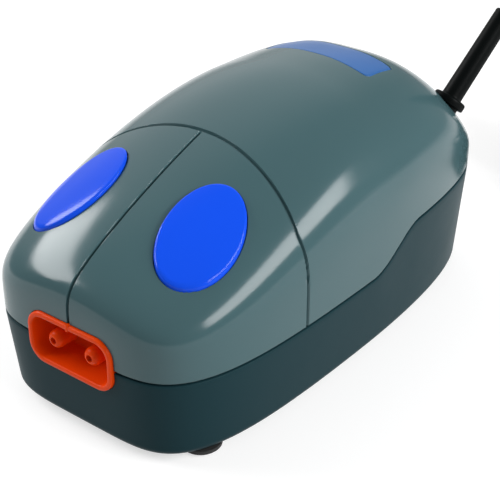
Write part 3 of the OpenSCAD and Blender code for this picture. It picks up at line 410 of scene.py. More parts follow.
def finished(piece, angle=math.radians(35)):
    """Applies the place, turn and size, and smooths all but sharp edges."""
    only(piece)
    bpy.ops.object.transform_apply(location=True, rotation=True, scale=True)
    bpy.ops.object.shade_smooth_by_angle(angle=angle)
    return piece


def applied(piece, kind, **settings):
    """Puts a modifier on a piece and applies it."""
    only(piece)
    modifier = piece.modifiers.new(kind.lower(), kind)
    for name, value in settings.items():
        setattr(modifier, name, value)
    bpy.ops.object.modifier_apply(modifier=modifier.name)
    return piece


def combined(piece, tool, operation):
    """Adds a shape to a piece, or cuts it out of it."""
    applied(piece, "BOOLEAN", object=tool, operation=operation, solver="MANIFOLD")
    bpy.data.objects.remove(tool)
    return piece


def joined(pieces):
    """Joins pieces into the first of them."""
    only(pieces[0])
    for other in pieces[1:]:
        other.select_set(True)
    bpy.ops.object.join()
    return pieces[0]


def rod(start, end, r):
    """A round bar between two points."""
    way = Vector(end) - Vector(start)
    bar = started(
        "rod",
        bpy.ops.mesh.primitive_cylinder_add,
        vertices=48,
        radius=r,
        depth=way.length,
        location=(Vector(start) + Vector(end)) / 2,
        rotation=way.to_track_quat("Z", "Y").to_euler(),
    )
    bpy.ops.object.transform_apply(location=True, rotation=True, scale=True)
    return bar


def block(low, high, name):
    """A box between two corners."""
    low, high = Vector(low), Vector(high)
    box = started(name, bpy.ops.mesh.primitive_cube_add, size=1, location=(low + high) / 2)
    box.scale = high - low
    bpy.ops.object.transform_apply(location=True, rotation=True, scale=True)
    return box


def rounded_block(low, high, r, axis, name="rounded", segments=10):
    """A box whose four edges along one axis are rounded."""
    box = block(low, high, name)
    with Editing(box, "EDGE") as work:
        work.choose(lambda edge: along(edge, axis))
        bpy.ops.mesh.bevel(offset=r, segments=segments, affect="EDGES")
    return box


def spun(name, profile, steps=64):
    """A turned piece: a point is drawn out along a profile, which is then spun about Z."""
    piece = started(name, bpy.ops.mesh.primitive_circle_add, vertices=3, radius=MM)
    with Editing(piece, "VERT") as work:
        work.choose(lambda vert: True)
        bpy.ops.mesh.merge(type="CENTER")
        bpy.ops.transform.translate(value=(profile[0][0], 0, profile[0][1]))
        for before, after in zip(profile, profile[1:]):
            step = (after[0] - before[0], 0, after[1] - before[1])
            bpy.ops.mesh.extrude_vertices_move(TRANSFORM_OT_translate={"value": step})
        bpy.ops.mesh.select_all(action="SELECT")
        bpy.ops.mesh.spin(steps=steps, angle=2 * math.pi, center=(0, 0, 0), axis=(0, 0, 1))
        bpy.ops.mesh.select_all(action="SELECT")
        bpy.ops.mesh.remove_doubles(threshold=TOUCH)
        bpy.ops.mesh.normals_make_consistent(inside=False)
    return piece


def rounded_corner(corner, before, after, r, steps=4):
    """Points that round one corner of a profile."""
    corner, before, after = (Vector(p) for p in (corner, before, after))
    start = corner + (before - corner).normalized() * r
    end = corner + (after - corner).normalized() * r
    return [
        tuple((1 - t) ** 2 * start + 2 * t * (1 - t) * corner + t * t * end)
        for t in (i / steps for i in range(steps + 1))
    ]


def angles(start, end, steps):
    """Evenly spaced angles in radians, from one in degrees to another."""
    return [math.radians(start + (end - start) * i / steps) for i in range(steps + 1)]


def ball(name, segments, rings):
    return started(
        name, bpy.ops.mesh.primitive_uv_sphere_add, segments=segments, ring_count=rings, radius=1
    )


def bearings(point):
    """Which way a point of a ball lies: round, and up."""
    return math.atan2(point.y, point.x), math.atan2(point.z, math.hypot(point.x, point.y))


def moulded_onto(piece, place):
    """Moves every vertex of a ball to the place of its bearings."""
    for vert in piece.data.vertices:
        vert.co = place(*bearings(vert.co))
    piece.data.update()
    return piece


def half_ball(name, segments, rings, upper):
    """An open half of a ball."""
    half = ball(name, segments, rings)
    with Editing(half) as work:
        work.choose(lambda face: (face.calc_center_median().z > 0) != upper)
        bpy.ops.mesh.delete(type="FACE")
    return half


def closed_shell(outer, inner, edge_r):
    """Joins an outer and an inner wall at their rims, and rounds the outer rim."""
    with Editing(inner):
        bpy.ops.mesh.select_all(action="SELECT")
        bpy.ops.mesh.flip_normals()
    rim = nearest([vert.co.copy() for vert in rim_verts(outer)])
    shell = joined([outer, inner])
    with Editing(shell, "EDGE") as work:
        work.choose(lambda edge: edge.is_boundary)
        bpy.ops.mesh.bridge_edge_loops()
        work.choose(lambda edge: all(rim.find(vert.co)[2] < TOUCH for vert in edge.verts))
        bpy.ops.mesh.bevel(offset=edge_r, segments=3, affect="EDGES")
    return shell


def rim_verts(piece):
    """The vertices on the open edge of a shell."""
    count = {}
    for face in piece.data.polygons:
        for key in face.edge_keys:
            count[key] = count.get(key, 0) + 1
    on_rim = {v for key, n in count.items() if n == 1 for v in key}
    return [piece.data.vertices[v] for v in on_rim]


# Finishes


class Value:
    """A number or colour in a material: sums on it add the Math nodes they need."""

    def __init__(self, finish, socket):
        self.finish = finish
        self.socket = socket

    def _math(self, operation, first, second):
        return self.finish.add("ShaderNodeMath", {"operation": operation}, {0: first, 1: second})

    def __add__(self, other):
        return self._math("ADD", self, other)

    def __radd__(self, other):
        return self._math("ADD", other, self)

    def __sub__(self, other):
        return self._math("SUBTRACT", self, other)

    def __rsub__(self, other):
        return self._math("SUBTRACT", other, self)

    def __mul__(self, other):
        return self._math("MULTIPLY", self, other)

    def __rmul__(self, other):
        return self._math("MULTIPLY", other, self)


class Finish:
    """The nodes of a material or world."""

    def __init__(self, owner):
        self.owner = owner
        owner.use_nodes = True
        self.tree = owner.node_tree
        self.tree.nodes.clear()

    def add(self, kind, settings=None, inputs=None, out=0):
        """Adds a node with its settings, and with values or links on its sockets."""
        node = self.tree.nodes.new(kind)
        for name, value in (settings or {}).items():
            setattr(node, name, value)
        for name, value in (inputs or {}).items():
            if isinstance(value, Value):
                self.tree.links.new(value.socket, node.inputs[name])
            else:
                node.inputs[name].default_value = value
        return Value(self, node.outputs[out]) if node.outputs else None

    def place(self):
        return self.add("ShaderNodeTexCoord", out="Object")

    def noise(self, scale, detail, where=None):
        """Even grain; the scale is how many grains there are to a metre."""
        inputs = {"Vector": where or self.place(), "Scale": scale, "Detail": detail}
        return self.add("ShaderNodeTexNoise", inputs=inputs)

    def between(self, first, second, share):
        """A colour between two others."""
        settings = {"data_type": "RGBA"}
        inputs = {0: share, 6: (*first, 1), 7: (*second, 1)}
        return self.add("ShaderNodeMix", settings, inputs, out=2)

    def bump(self, height, strength, distance):
        inputs = {"Height": height, "Strength": strength, "Distance": distance}
        return self.add("ShaderNodeBump", inputs=inputs)

    def shown(self, base, roughness, normal, others=None):
        """Ends a material in its shader, with any other sockets by name."""
        inputs = {"Base Color": base, "Roughness": roughness, "Normal": normal, **(others or {})}
        shader = self.add("ShaderNodeBsdfPrincipled", inputs=inputs)
        self.add("ShaderNodeOutputMaterial", inputs={"Surface": shader})
        return self.owner


def shaded(tone, k):
    return tuple(min(1.0, c * k) for c in tone)


def wave(finish, axis, scale, distortion):
    """Bands across one axis."""
    settings = {"wave_type": "BANDS", "bands_direction": axis}
    inputs = {"Vector": finish.place(), "Scale": scale, "Distortion": distortion}
    return finish.add("ShaderNodeTexWave", settings, inputs)


GRAIN_H = 0.1 * MM  # height of a grain or scratch at full strength
BAND_H = 0.3 * MM  # height of a turn of wire or the edge of a sheet
TUFT_H = 0.6 * MM  # height of a tuft of fibres


def moulded(name, tone, rough, grain=5000.0, relief=0.02, specular=0.5):
    """Moulded plastic: a faint drift of shade, a fine spark-eroded grain and uneven gloss."""
    flow, spread = 25.0, 0.06
    smudge_gloss, grain_gloss = 0.08, 0.04
    f = Finish(bpy.data.materials.new(name))
    where = f.place()
    drift = f.noise(flow, 3.0, where)
    fine = f.noise(grain, 2.0, where)
    smudge = f.noise(flow * 5, 4.0, where)
    base = f.between(shaded(tone, 1 - spread), shaded(tone, 1 + spread), drift)
    gloss = rough + (smudge - 0.5) * smudge_gloss + (fine - 0.5) * grain_gloss
    normal = f.bump(fine, relief, GRAIN_H)
    return f.shown(base, gloss, normal, {"Specular IOR Level": specular})


def metal(name, tone, rough, drawn=(1, 1, 40)):
    """Drawn or stamped metal, with scratches along one way."""
    f = Finish(bpy.data.materials.new(name))
    where = f.add("ShaderNodeMapping", inputs={"Vector": f.place(), "Scale": drawn})
    line = f.noise(180.0, 3.0, where)
    stain = f.noise(120.0, 3.0)
    base = f.between(shaded(tone, 0.82), shaded(tone, 1.1), stain)
    gloss = rough + (line - 0.5) * 0.25
    return f.shown(base, gloss, f.bump(line, 0.1, GRAIN_H), {"Metallic": 1.0})


def rubber(name, tone, rough=0.75):
    """Dull rubber, with a bloom that pales it in places."""
    f = Finish(bpy.data.materials.new(name))
    where = f.place()
    bloom = f.noise(140.0, 4.0, where)
    fine = f.noise(4000.0, 2.0, where)
    base = f.between(shaded(tone, 0.8), shaded(tone, 1.9), bloom)
    return f.shown(base, rough + (bloom - 0.5) * 0.2, f.bump(fine, 0.15, GRAIN_H))


def wound(name, tone):
    """Enamelled wire, wound turn by turn along X, with painted shade between the turns and a
    painted highlight along each turn.
    """
    f = Finish(bpy.data.materials.new(name))
    turns = wave(f, "X", 900.0, 0.6)
    # Painted shade and highlight: each turn's colour runs from darker to lighter across it, as
    # light falls on round wire
    base = f.between(shaded(tone, 0.5), shaded(tone, 1.2), turns)
    return f.shown(base, 0.3 + turns * 0.1, f.bump(turns, 0.6, BAND_H), {"Metallic": 0.7})


def felted(name, tone):
    """Matted fibres in loose tufts."""
    f = Finish(bpy.data.materials.new(name))
    where = f.place()
    tuft = f.noise(900.0, 6.0, where)
    matted = f.noise(220.0, 3.0, where)
    base = f.between(shaded(tone, 0.72), shaded(tone, 1.05), tuft)
    return f.shown(base, 0.9 + (matted - 0.5) * 0.1, f.bump(tuft, 0.8, TUFT_H))


def laid_iron(name, tone):
    """Stacked iron sheets, seen on edge."""
    f = Finish(bpy.data.materials.new(name))
    sheets = wave(f, "Y", 320.0, 0.3)
    rust = f.noise(150.0, 4.0)
    base = f.between(shaded(tone, 0.6), shaded(tone, 1.3), sheets)
    return f.shown(base, 0.45 + rust * 0.2, f.bump(sheets, 0.4, BAND_H), {"Metallic": 0.9})


def dressed(piece, material, replaced):
    """Gives a new piece its finish, and sets it on the housing in place of its solids."""
    piece.data.materials.clear()
    piece.data.materials.append(material)
    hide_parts(*replaced)
    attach(piece, HOUSING)


# The pieces


class Pump:
    """The sizes that several pieces share, from the scene's own values."""

    cowl_floor = 1.5 * MM
    relief_sunk = 0.4 * MM
    plate_r = 1.5 * MM
    recess_from = 0.8  # lowest place of a recess, as a share of the nose's height
    opening_out = 5 * MM
    nose_steps, arch_steps, side_steps = 900, 360, 240

    def __init__(self, scene):
        self.housing = scene.pump_housing
        self.details = scene.pump_details
        self.lead = scene.pump_lead
        self.finish = scene.pump_finish
        self.skin = Skin(self.housing)
        d = self.details
        self.port_z = self.housing.stand_h + d.outlet_h
        self.port_x = d.outlet_span / 2
        self.rim_y = -self.skin.half_l - d.rim_proud
        self.hollow_y = self.rim_y + d.cowl_depth
        self.back_y = self.hollow_y + self.cowl_floor
        lead = self.lead
        tilt, heading = lead.relief_tilt, lead.relief_turn
        flat = math.sin(tilt) * math.cos(heading), math.sin(tilt) * math.sin(heading)
        self.relief_axis = Vector((*flat, math.cos(tilt)))
        seat_z = self.skin.height(lead.relief_x, lead.relief_y)
        seat = Vector((lead.relief_x, lead.relief_y, seat_z))
        self.relief_seat = seat - self.relief_sunk * self.relief_axis
        self.sleeve_end = self.relief_seat + lead.sleeve_l * self.relief_axis

    def oval_share(self, x, y, side):
        """How far out a place lies on an oval pad, 1 at its rim, and its rim's distance there."""
        d = self.details
        c, s = math.cos(d.oval_turn), math.sin(d.oval_turn)
        px, py = side * x - d.oval_x, y - d.oval_y
        px, py = c * px + s * py, c * py - s * px
        share = math.hypot(px / (d.oval_w / 2), py / (d.oval_l / 2))
        return share, math.hypot(px, py) / max(share, 1e-9)

    def off_oval(self, x, y):
        """Distance outside the nearer oval pad's rim, less than 0 inside."""
        share, radius = self.oval_share(x, y, 1 if x > 0 else -1)
        return (share - 1) * radius

    def off_plate(self, x, y):
        """Distance outside the label plate's rim, less than 0 inside."""
        d, r = self.details, self.plate_r
        px, py = abs(x) - d.label_w / 2 + r, abs(y - d.label_y) - d.label_l / 2 + r
        return math.hypot(max(px, 0), max(py, 0)) + min(max(px, py), 0) - r

    def on_top(self, p):
        """Is a point of the skin high enough for the recesses of the pads and the plate?"""
        return p.z > self.housing.stand_h + self.housing.nose_h * self.recess_from

    def cowl_opening(self):
        """The block to cut out of the housing for the cowl."""
        d = self.details
        half_w, half_h = d.cowl_w / 2 + d.cowl_clear, d.cowl_h / 2 + d.cowl_clear
        low = (-half_w, self.rim_y - self.opening_out, self.port_z - half_h)
        high = (half_w, self.back_y, self.port_z + half_h)
        return rounded_block(low, high, d.cowl_r + d.cowl_clear, 1)

    def groove_lines(self):
        """Closely set points along the grooves: down the nose, over the arch and down its sides."""
        d, skin = self.details, self.skin
        nose = math.radians(270)
        points = []
        for i in range(self.nose_steps):
            p = skin.upper(nose, math.radians(90) * i / self.nose_steps)
            if p.y < d.arch_y and p.z > self.port_z:
                points.append(p)
        end_y = d.arch_y - d.arch_side**2 / (2 * d.arch_r)
        for i in range(-self.arch_steps, self.arch_steps + 1):
            x = d.arch_side * i / self.arch_steps
            y = d.arch_y - x * x / (2 * d.arch_r)
            points.append(Vector((x, y, skin.height(x, y))))
        n = self.housing.side_shoulder_n
        c = skin.reach(d.arch_side, end_y)
        top_share = max(0.0, 1 - c**n) ** (1 / n)
        for i in range(self.side_steps + 1):
            s = top_share * (1 - i / self.side_steps)
            c = (1 - s**n) ** (1 / n)
            x = c * skin.edge_x(end_y / c)
            z = skin.seam_z(end_y) * (1 - s) + skin.top_z(x, end_y) * s
            points.extend([Vector((x, end_y, z)), Vector((-x, end_y, z))])
        return points


# Each lamp's place, the point that it faces, and its width and height, in metres
LAMPS = {
    "right_lamp": ((0.77, 0.17, 0.47), (0, -0.03, 0.05), (0.80, 0.29)),
    "left_lamp": ((-0.736, -0.278, 0.528), (0.012, -0.136, 0.043), (0.68, 0.30)),
}
# The way to the added light, and the cosines at which it starts and is full
BACK_WAY = (-0.64, 0.51, 0.575)
BACK_START, BACK_FULL = 0.72, 1.0
# The floor, just under the feet, between two tones
FLOOR_SIZE, FLOOR_Z = 40, -0.2 * MM
FLOOR_DARK, FLOOR_PALE = (0.50, 0.50, 0.50), (0.53, 0.53, 0.53)


class PUMP_OT_stage(bpy.types.Operator):
    """Makes the camera, the pale floor and the lamps"""

    bl_idname = "pump.stage"
    bl_label = "Stage"

    def execute(self, context):
        s = context.scene.pump_stage
        aim = Vector((0, s.aim_y, s.aim_z))
        at = Vector((s.camera_x, s.camera_y, s.camera_z))
        bpy.ops.object.camera_add(location=at, rotation=self.facing(at, aim))
        camera = context.active_object
        camera.name = "photo_camera"
        camera.data.lens = s.lens
        camera.data.sensor_width = 36
        camera.data.clip_start = 0.01
        context.scene.camera = camera
        self.floor(s.glow)
        self.world(context, s.fill, s.back)
        for name, power in (("right_lamp", s.right_power), ("left_lamp", s.left_power)):
            self.lamp(name, *LAMPS[name], power)
        context.scene.view_settings.view_transform = "Standard"
        return {"FINISHED"}

    @staticmethod
    def facing(at, aim):
        return (Vector(aim) - Vector(at)).to_track_quat("-Z", "Y").to_euler()

    def floor(self, bright):
        """A pale floor that is lit up for the camera and for reflections."""
        plane = bpy.ops.mesh.primitive_plane_add
        floor = started("floor", plane, size=FLOOR_SIZE, location=(0, 0, FLOOR_Z))
        f = Finish(bpy.data.materials.new("pale_floor"))
        seen = f.add("ShaderNodeLightPath", out="Is Camera Ray")
        for ray in ("Is Glossy Ray", "Is Transmission Ray"):
            other = f.add("ShaderNodeLightPath", out=ray)
            seen = f.add("ShaderNodeMath", {"operation": "MAXIMUM"}, {0: seen, 1: other})
        tone = f.between(FLOOR_DARK, FLOOR_PALE, f.noise(0.8, 2.0))
        cloth = f.add("ShaderNodeBsdfDiffuse", inputs={"Color": tone})
        glow = f.add("ShaderNodeEmission", inputs={"Color": (1, 1, 1, 1), "Strength": bright})
        lit = f.add("ShaderNodeAddShader", inputs={0: cloth, 1: glow})
        shader = f.add("ShaderNodeMixShader", inputs={0: seen, 1: cloth, 2: lit})
        f.add("ShaderNodeOutputMaterial", inputs={"Surface": shader})
        floor.data.materials.append(f.owner)

    def world(self, context, fill, back):
        """Dim light from all round, and more of it from behind the left side."""
        w = Finish(bpy.data.worlds.new("studio"))
        way = w.add("ShaderNodeTexCoord", out="Generated")
        ways = {0: way, 1: BACK_WAY}
        toward = w.add("ShaderNodeVectorMath", {"operation": "DOT_PRODUCT"}, ways, out="Value")
        soft = {"interpolation_type": "SMOOTHSTEP"}
        lobe = {"Value": toward, "From Min": BACK_START, "From Max": BACK_FULL}
        share = w.add("ShaderNodeMapRange", soft, lobe)
        glow = w.add("ShaderNodeBackground", inputs={"Strength": fill + share * back})
        w.add("ShaderNodeOutputWorld", inputs={"Surface": glow})
        context.scene.world = w.owner

    def lamp(self, name, at, aim, size, power):
        bpy.ops.object.light_add(type="AREA", location=at, rotation=self.facing(at, aim))
        lamp = bpy.context.active_object
        lamp.name = name
        lamp.data.shape = "RECTANGLE"
        lamp.data.size, lamp.data.size_y = size
        lamp.data.energy = power


# The free stretch of the lead: its bend over the top as shares of the way behind the tail, then
# straight down, then along the table to the coil
BEND_SHARES = (
    (0.183, -0.8, -0.063), (0.188, -0.623, 0), (0.158, -0.435, -0.03), (0.108, -0.259, -0.138),
    (0.058, -0.12, -0.327), (0.018, -0.033, -0.578),
)
BEND_DROP = 0.85  # how far below the top it starts straight down, in the same shares
DROP_SHARES = (1, 0.8, 0.6, 0.4)
FOOT_SHARES = ((0.117, 0.418), (0.375, 0.136))
FOOT_END = 1.5  # thicknesses of the lead before the coil
DULL = 0.06  # specular level of the black pieces


class Coil:
    """The coil of the lead: layers wound in and out from the table, then a bend to the plug."""

    layers = 4
    turns = 1.625
    climb_turns = 0.5
    turn_gap = 0.5 * MM
    in_r = 16 * MM
    bulge = 1.2 * MM
    entry_a = 30
    entry_run = 25.5 * MM
    lift_sweep = 40
    tail_r = 12 * MM
    tail_sweep = 90
    tail_run = 5 * MM
    tie_t = 0.8 * MM
    tie_clear = 0.2 * MM
    turn_steps = 36
    tail_steps = 20

    def __init__(self, lead, drop):
        self.d = lead.cord_d
        self.pitch = self.d + self.turn_gap
        self.out_r = self.in_r + self.turns * self.pitch
        self.start_a = self.entry_a - 90
        entry_end = drop + self.entry_run * self.way(self.entry_a)
        self.middle = entry_end - self.out_r * self.way(self.start_a)
        self.layer_span = self.turns + self.climb_turns
        self.span = self.layers * self.layer_span - self.climb_turns
        self.low_z = self.tie_t + self.tie_clear + self.d / 2
        self.high_z = self.low_z + (self.layers - 1) * self.pitch
        self.plug_z = self.high_z + self.d / 2 + self.tie_clear + lead.plug_t / 2
        self.first_a = self.start_a + 360 * (self.span - math.floor(self.span))
        self.from_a = self.first_a + self.lift_sweep
        self.end_a = self.from_a + self.tail_sweep
        self.lift_r = self.out_r + self.pitch * self.lift_sweep / 360
        self.tail_middle = self.middle + (self.lift_r - self.tail_r) * self.way(self.from_a)
        self.entry = Vector((*self.way(self.entry_a), 0))
        self.foot_run = self.entry_run - self.d
        self.drop = Vector((*drop, self.low_z))
        self.start = self.drop + self.foot_run * self.entry
        self.plug_way = Vector((*self.way(self.end_a + 90), 0))
        flat = self.tail_middle + self.tail_r * self.way(self.end_a)
        self.plug = Vector((*flat, self.plug_z)) + self.tail_run * self.plug_way
        self.tie_turn = math.radians(self.start_a + 270)

    @staticmethod
    def way(a):
        return Vector((math.cos(math.radians(a)), math.sin(math.radians(a))))

    def loop_point(self, t):
        """A point of the layers, t turns along."""
        layer = min(math.floor(t / self.layer_span + 1e-9), self.layers - 1)
        into = t - layer * self.layer_span
        climb = max(0.0, into - self.turns) / self.climb_turns
        shrink = self.pitch * min(into, self.turns) + self.bulge * math.sin(math.pi * climb)
        r = self.out_r - shrink if layer % 2 == 0 else self.in_r + shrink
        flat = self.middle + r * self.way(360 * t + self.start_a)
        return Vector((*flat, self.low_z + self.pitch * (layer + smooth(climb))))

    def tail_point(self, a):
        """A point of the bend up to the plug, by its bearing."""
        run_l = self.out_r * self.lift_sweep + self.tail_r * self.tail_sweep
        if a < self.from_a:
            run = self.out_r * (a - self.first_a)
            flat = self.middle + (self.lift_r - self.pitch * (self.from_a - a) / 360) * self.way(a)
        else:
            run = run_l - self.tail_r * (self.end_a - a)
            flat = self.tail_middle + self.tail_r * self.way(a)
        return Vector((*flat, self.high_z + (self.plug_z - self.high_z) * smooth(run / run_l)))

    def line(self):
        last = math.floor(self.span * self.turn_steps)
        loops = [self.loop_point(i / self.turn_steps) for i in range(last + 1)]
        sweep, steps = self.lift_sweep + self.tail_sweep, self.tail_steps
        tail = [self.tail_point(self.first_a + sweep * i / steps) for i in range(1, steps + 1)]
        return [self.start, *loops, *tail, self.plug - self.d * self.plug_way, self.plug]


def curved(points, steps):
    """Points of one smooth curve through others."""
    ends = [2 * points[0] - points[1], *points, 2 * points[-1] - points[-2]]
    line = []
    for a, b, c, d in zip(ends, ends[1:], ends[2:], ends[3:]):
        for k in range(steps):
            t = k / steps
            bend = 2 * a - 5 * b + 4 * c - d + t * (3 * b - 3 * c + d - a)
            line.append(b + t / 2 * (c - a + t * bend))
    return [*line, points[-1]]


class PUMP_OT_lead(bpy.types.Operator):
    """Lays the mains lead along its route, and coils, ties and plugs the rest"""

    bl_idname = "pump.lead"
    bl_label = "Mains lead"

    def execute(self, context):
        pump = Pump(context.scene)
        lead = pump.lead
        coil = Coil(lead, Vector((lead.lead_x, pump.skin.half_l + lead.lead_back)))
        black = pump.finish.black
        line = curved(self.free_points(pump, coil), 2) + coil.line()[1:]
        cord = self.cord(line, lead.cord_d)
        sheath = moulded("lead_sheath", black, 0.42, grain=3000.0, relief=0.06, specular=DULL)
        dressed(cord, sheath, replaced=("mains_cord", "cord_coil"))
        tie = self.tie(lead, coil)
        strap = moulded("tie_strap", shaded(black, 1.6), 0.5)
        dressed(tie, strap, replaced=("cord_tie",))
        plug = self.plug(lead, coil)
        shell = moulded("plug_shell", black, 0.38, relief=0.08, specular=DULL)
        dressed(plug, shell, replaced=("plug_body",))
        pins = self.pins(lead, coil)
        nickel = metal("plug_pin_nickel", (0.62, 0.60, 0.56), 0.22, (40, 1, 1))
        dressed(pins, nickel, replaced=("plug_pins",))
        relief = self.relief(pump)
        sleeve = moulded("relief_sleeve", black, 0.42, relief=0.05, specular=DULL)
        dressed(relief, sleeve, replaced=("strain_relief",))
        run = sum((b - a).length for a, b in zip(line, line[1:]))
        tuple(pump.sleeve_end)
        return {"FINISHED"}

    def free_points(self, pump, coil):
        """Points of the stretch between the sleeve and the coil."""
        lead = pump.lead
        foot = coil.drop
        top = Vector((foot.x, foot.y, pump.sleeve_end.z + lead.lead_rise))
        drop_z = top.z - BEND_DROP * lead.lead_back
        run = coil.foot_run
        return [
            pump.sleeve_end,
            pump.sleeve_end + lead.cord_d * pump.relief_axis,
            *(top + lead.lead_back * Vector(share) for share in BEND_SHARES),
            *(Vector((top.x, top.y, share * drop_z)) for share in DROP_SHARES),
            *(foot + run * (on * coil.entry + Vector((0, 0, up))) for on, up in FOOT_SHARES),
            coil.start - FOOT_END * lead.cord_d * coil.entry,
            coil.start,
        ]

    def cord(self, line, d):
        data = bpy.data.curves.new("mains_lead", "CURVE")
        data.dimensions = "3D"
        data.bevel_depth = d / 2
        data.bevel_resolution = 4
        spline = data.splines.new("POLY")
        spline.points.add(len(line) - 1)
        for point, place in zip(spline.points, line):
            point.co = (*place, 1)
        cord = bpy.data.objects.new("mains_lead", data)
        bpy.context.scene.collection.objects.link(cord)
        return cord

    def tie(self, lead, coil):
        """A flat band round the bundle of turns, with soft edges."""
        r0 = coil.in_r - coil.bulge - coil.d / 2 - coil.tie_clear
        r1 = coil.out_r + coil.bulge + coil.d / 2 + coil.tie_clear
        z1 = coil.high_z + coil.d / 2 + coil.tie_clear
        t, half_w, edge_r = coil.tie_t, lead.tie_w / 2, 0.15 * MM
        low, high = (r0 - t, -half_w, 0), (r1 + t, half_w, z1 + t)
        band = rounded_block(low, high, coil.d / 2, 1, "cord_tie_band")
        with Editing(band) as work:
            work.choose(lambda face: abs(face.normal.y) > SQUARE_ON)
            bpy.ops.mesh.delete(type="FACE")
        applied(band, "SOLIDIFY", thickness=t, offset=-1.0, use_even_offset=True)
        with Editing(band, "EDGE") as work:
            work.choose(lambda edge: lies(edge, 1, -half_w) or lies(edge, 1, half_w))
            bpy.ops.mesh.bevel(offset=edge_r, segments=2, affect="EDGES")
        band.rotation_euler = (0, 0, coil.tie_turn)
        band.location = (*coil.middle, 0)
        return finished(band)

    def plug(self, lead, coil):
        """A flat two-pin plug: a block tapered to the lead, with soft edges."""
        half_w, half_t = lead.plug_w / 2, lead.plug_t / 2
        side_r, face_r = 3.2 * MM, 0.8 * MM
        plug = block((0, -half_w, -half_t), (lead.plug_l, half_w, half_t), "plug_shell")
        # Shares of the length, with the shares of the width and thickness there
        shares = ((0.0, 0.235, 0.603), (0.45, 0.70, 1.0), (0.92, 1.0, 1.0), (1.0, 0.94, 0.85))
        with Editing(plug):
            for share, _, _ in shares[1:-1]:
                bpy.ops.mesh.select_all(action="SELECT")
                bpy.ops.mesh.bisect(plane_co=(share * lead.plug_l, 0, 0), plane_no=(1, 0, 0))
        for vert in plug.data.vertices:
            wide, thick = min((abs(vert.co.x / lead.plug_l - s[0]), s[1:]) for s in shares)[1]
            vert.co.y *= wide
            vert.co.z *= thick
        with Editing(plug, "EDGE") as work:
            work.choose(lambda edge: abs(edge.verts[0].co.x - edge.verts[1].co.x) > TOUCH)
            bpy.ops.mesh.bevel(offset=side_r, segments=5, affect="EDGES")
            work.choose(lambda edge: lies(edge, 0, lead.plug_l))
            bpy.ops.mesh.bevel(offset=face_r, segments=3, affect="EDGES")
        return self.on_plug(plug, coil)

    def on_plug(self, piece, coil):
        """Turns a piece that lies along X to the plug's heading, and sets it on the coil."""
        piece.rotation_euler = (0, 0, math.radians(coil.end_a + 90))
        piece.location = coil.plug
        return finished(piece)

    def pins(self, lead, coil):
        """Two round-ended pins."""
        half_span, r, pin_l, tip_r = 9.5 * MM, 2 * MM, 19 * MM, 1.2 * MM
        tip = rounded_corner((r, pin_l), (r, 0), (0, pin_l), tip_r)
        profile = [(0, 0), (r, 0), *tip, (0, pin_l)]
        pins = []
        for side in (-1, 1):
            pin = spun("plug_pin", profile, 32)
            pin.rotation_euler = (0, math.radians(90), 0)
            pin.location = (lead.plug_l, side * half_span, 0)
            pins.append(finished(pin))
        pair = joined(pins)
        pair.name = "plug_pin_pair"
        return self.on_plug(pair, coil)

    def relief(self, pump):
        """The flanged sleeve that the lead comes out of."""
        lead = pump.lead
        flange, sleeve, end = lead.flange_d / 2, lead.sleeve_d / 2, lead.sleeve_end_d / 2
        hole = sleeve + 0.55 * MM
        catch = hole + 0.75 * MM
        tail_z, neck_z, catch_low, catch_top = -10 * MM, -5.6 * MM, -5 * MM, -3.6 * MM
        low, top, tip = 0.05 * MM, lead.flange_t, lead.sleeve_l
        under_r, over_r, root_r, tip_r = 0.4 * MM, 0.9 * MM, 0.7 * MM, 0.8 * MM
        profile = [
            (0, tail_z), (sleeve, tail_z), (sleeve, neck_z), (catch, catch_low),
            (catch, catch_top), (hole, catch_top), (hole, low),
            *rounded_corner((flange, low), (hole, low), (flange, top), under_r, 3),
            *rounded_corner((flange, top), (flange, low), (sleeve, top), over_r, 5),
            *rounded_corner((sleeve, top), (flange, top), (sleeve, tip), root_r, 4),
            *rounded_corner((end, tip), (sleeve, top), (0, tip), tip_r, 5),
            (0, tip),
        ]
        relief = spun("strain_relief_sleeve", profile)
        relief.rotation_euler = pump.relief_axis.to_track_quat("Z", "Y").to_euler()
        relief.location = pump.relief_seat
        return finished(relief)


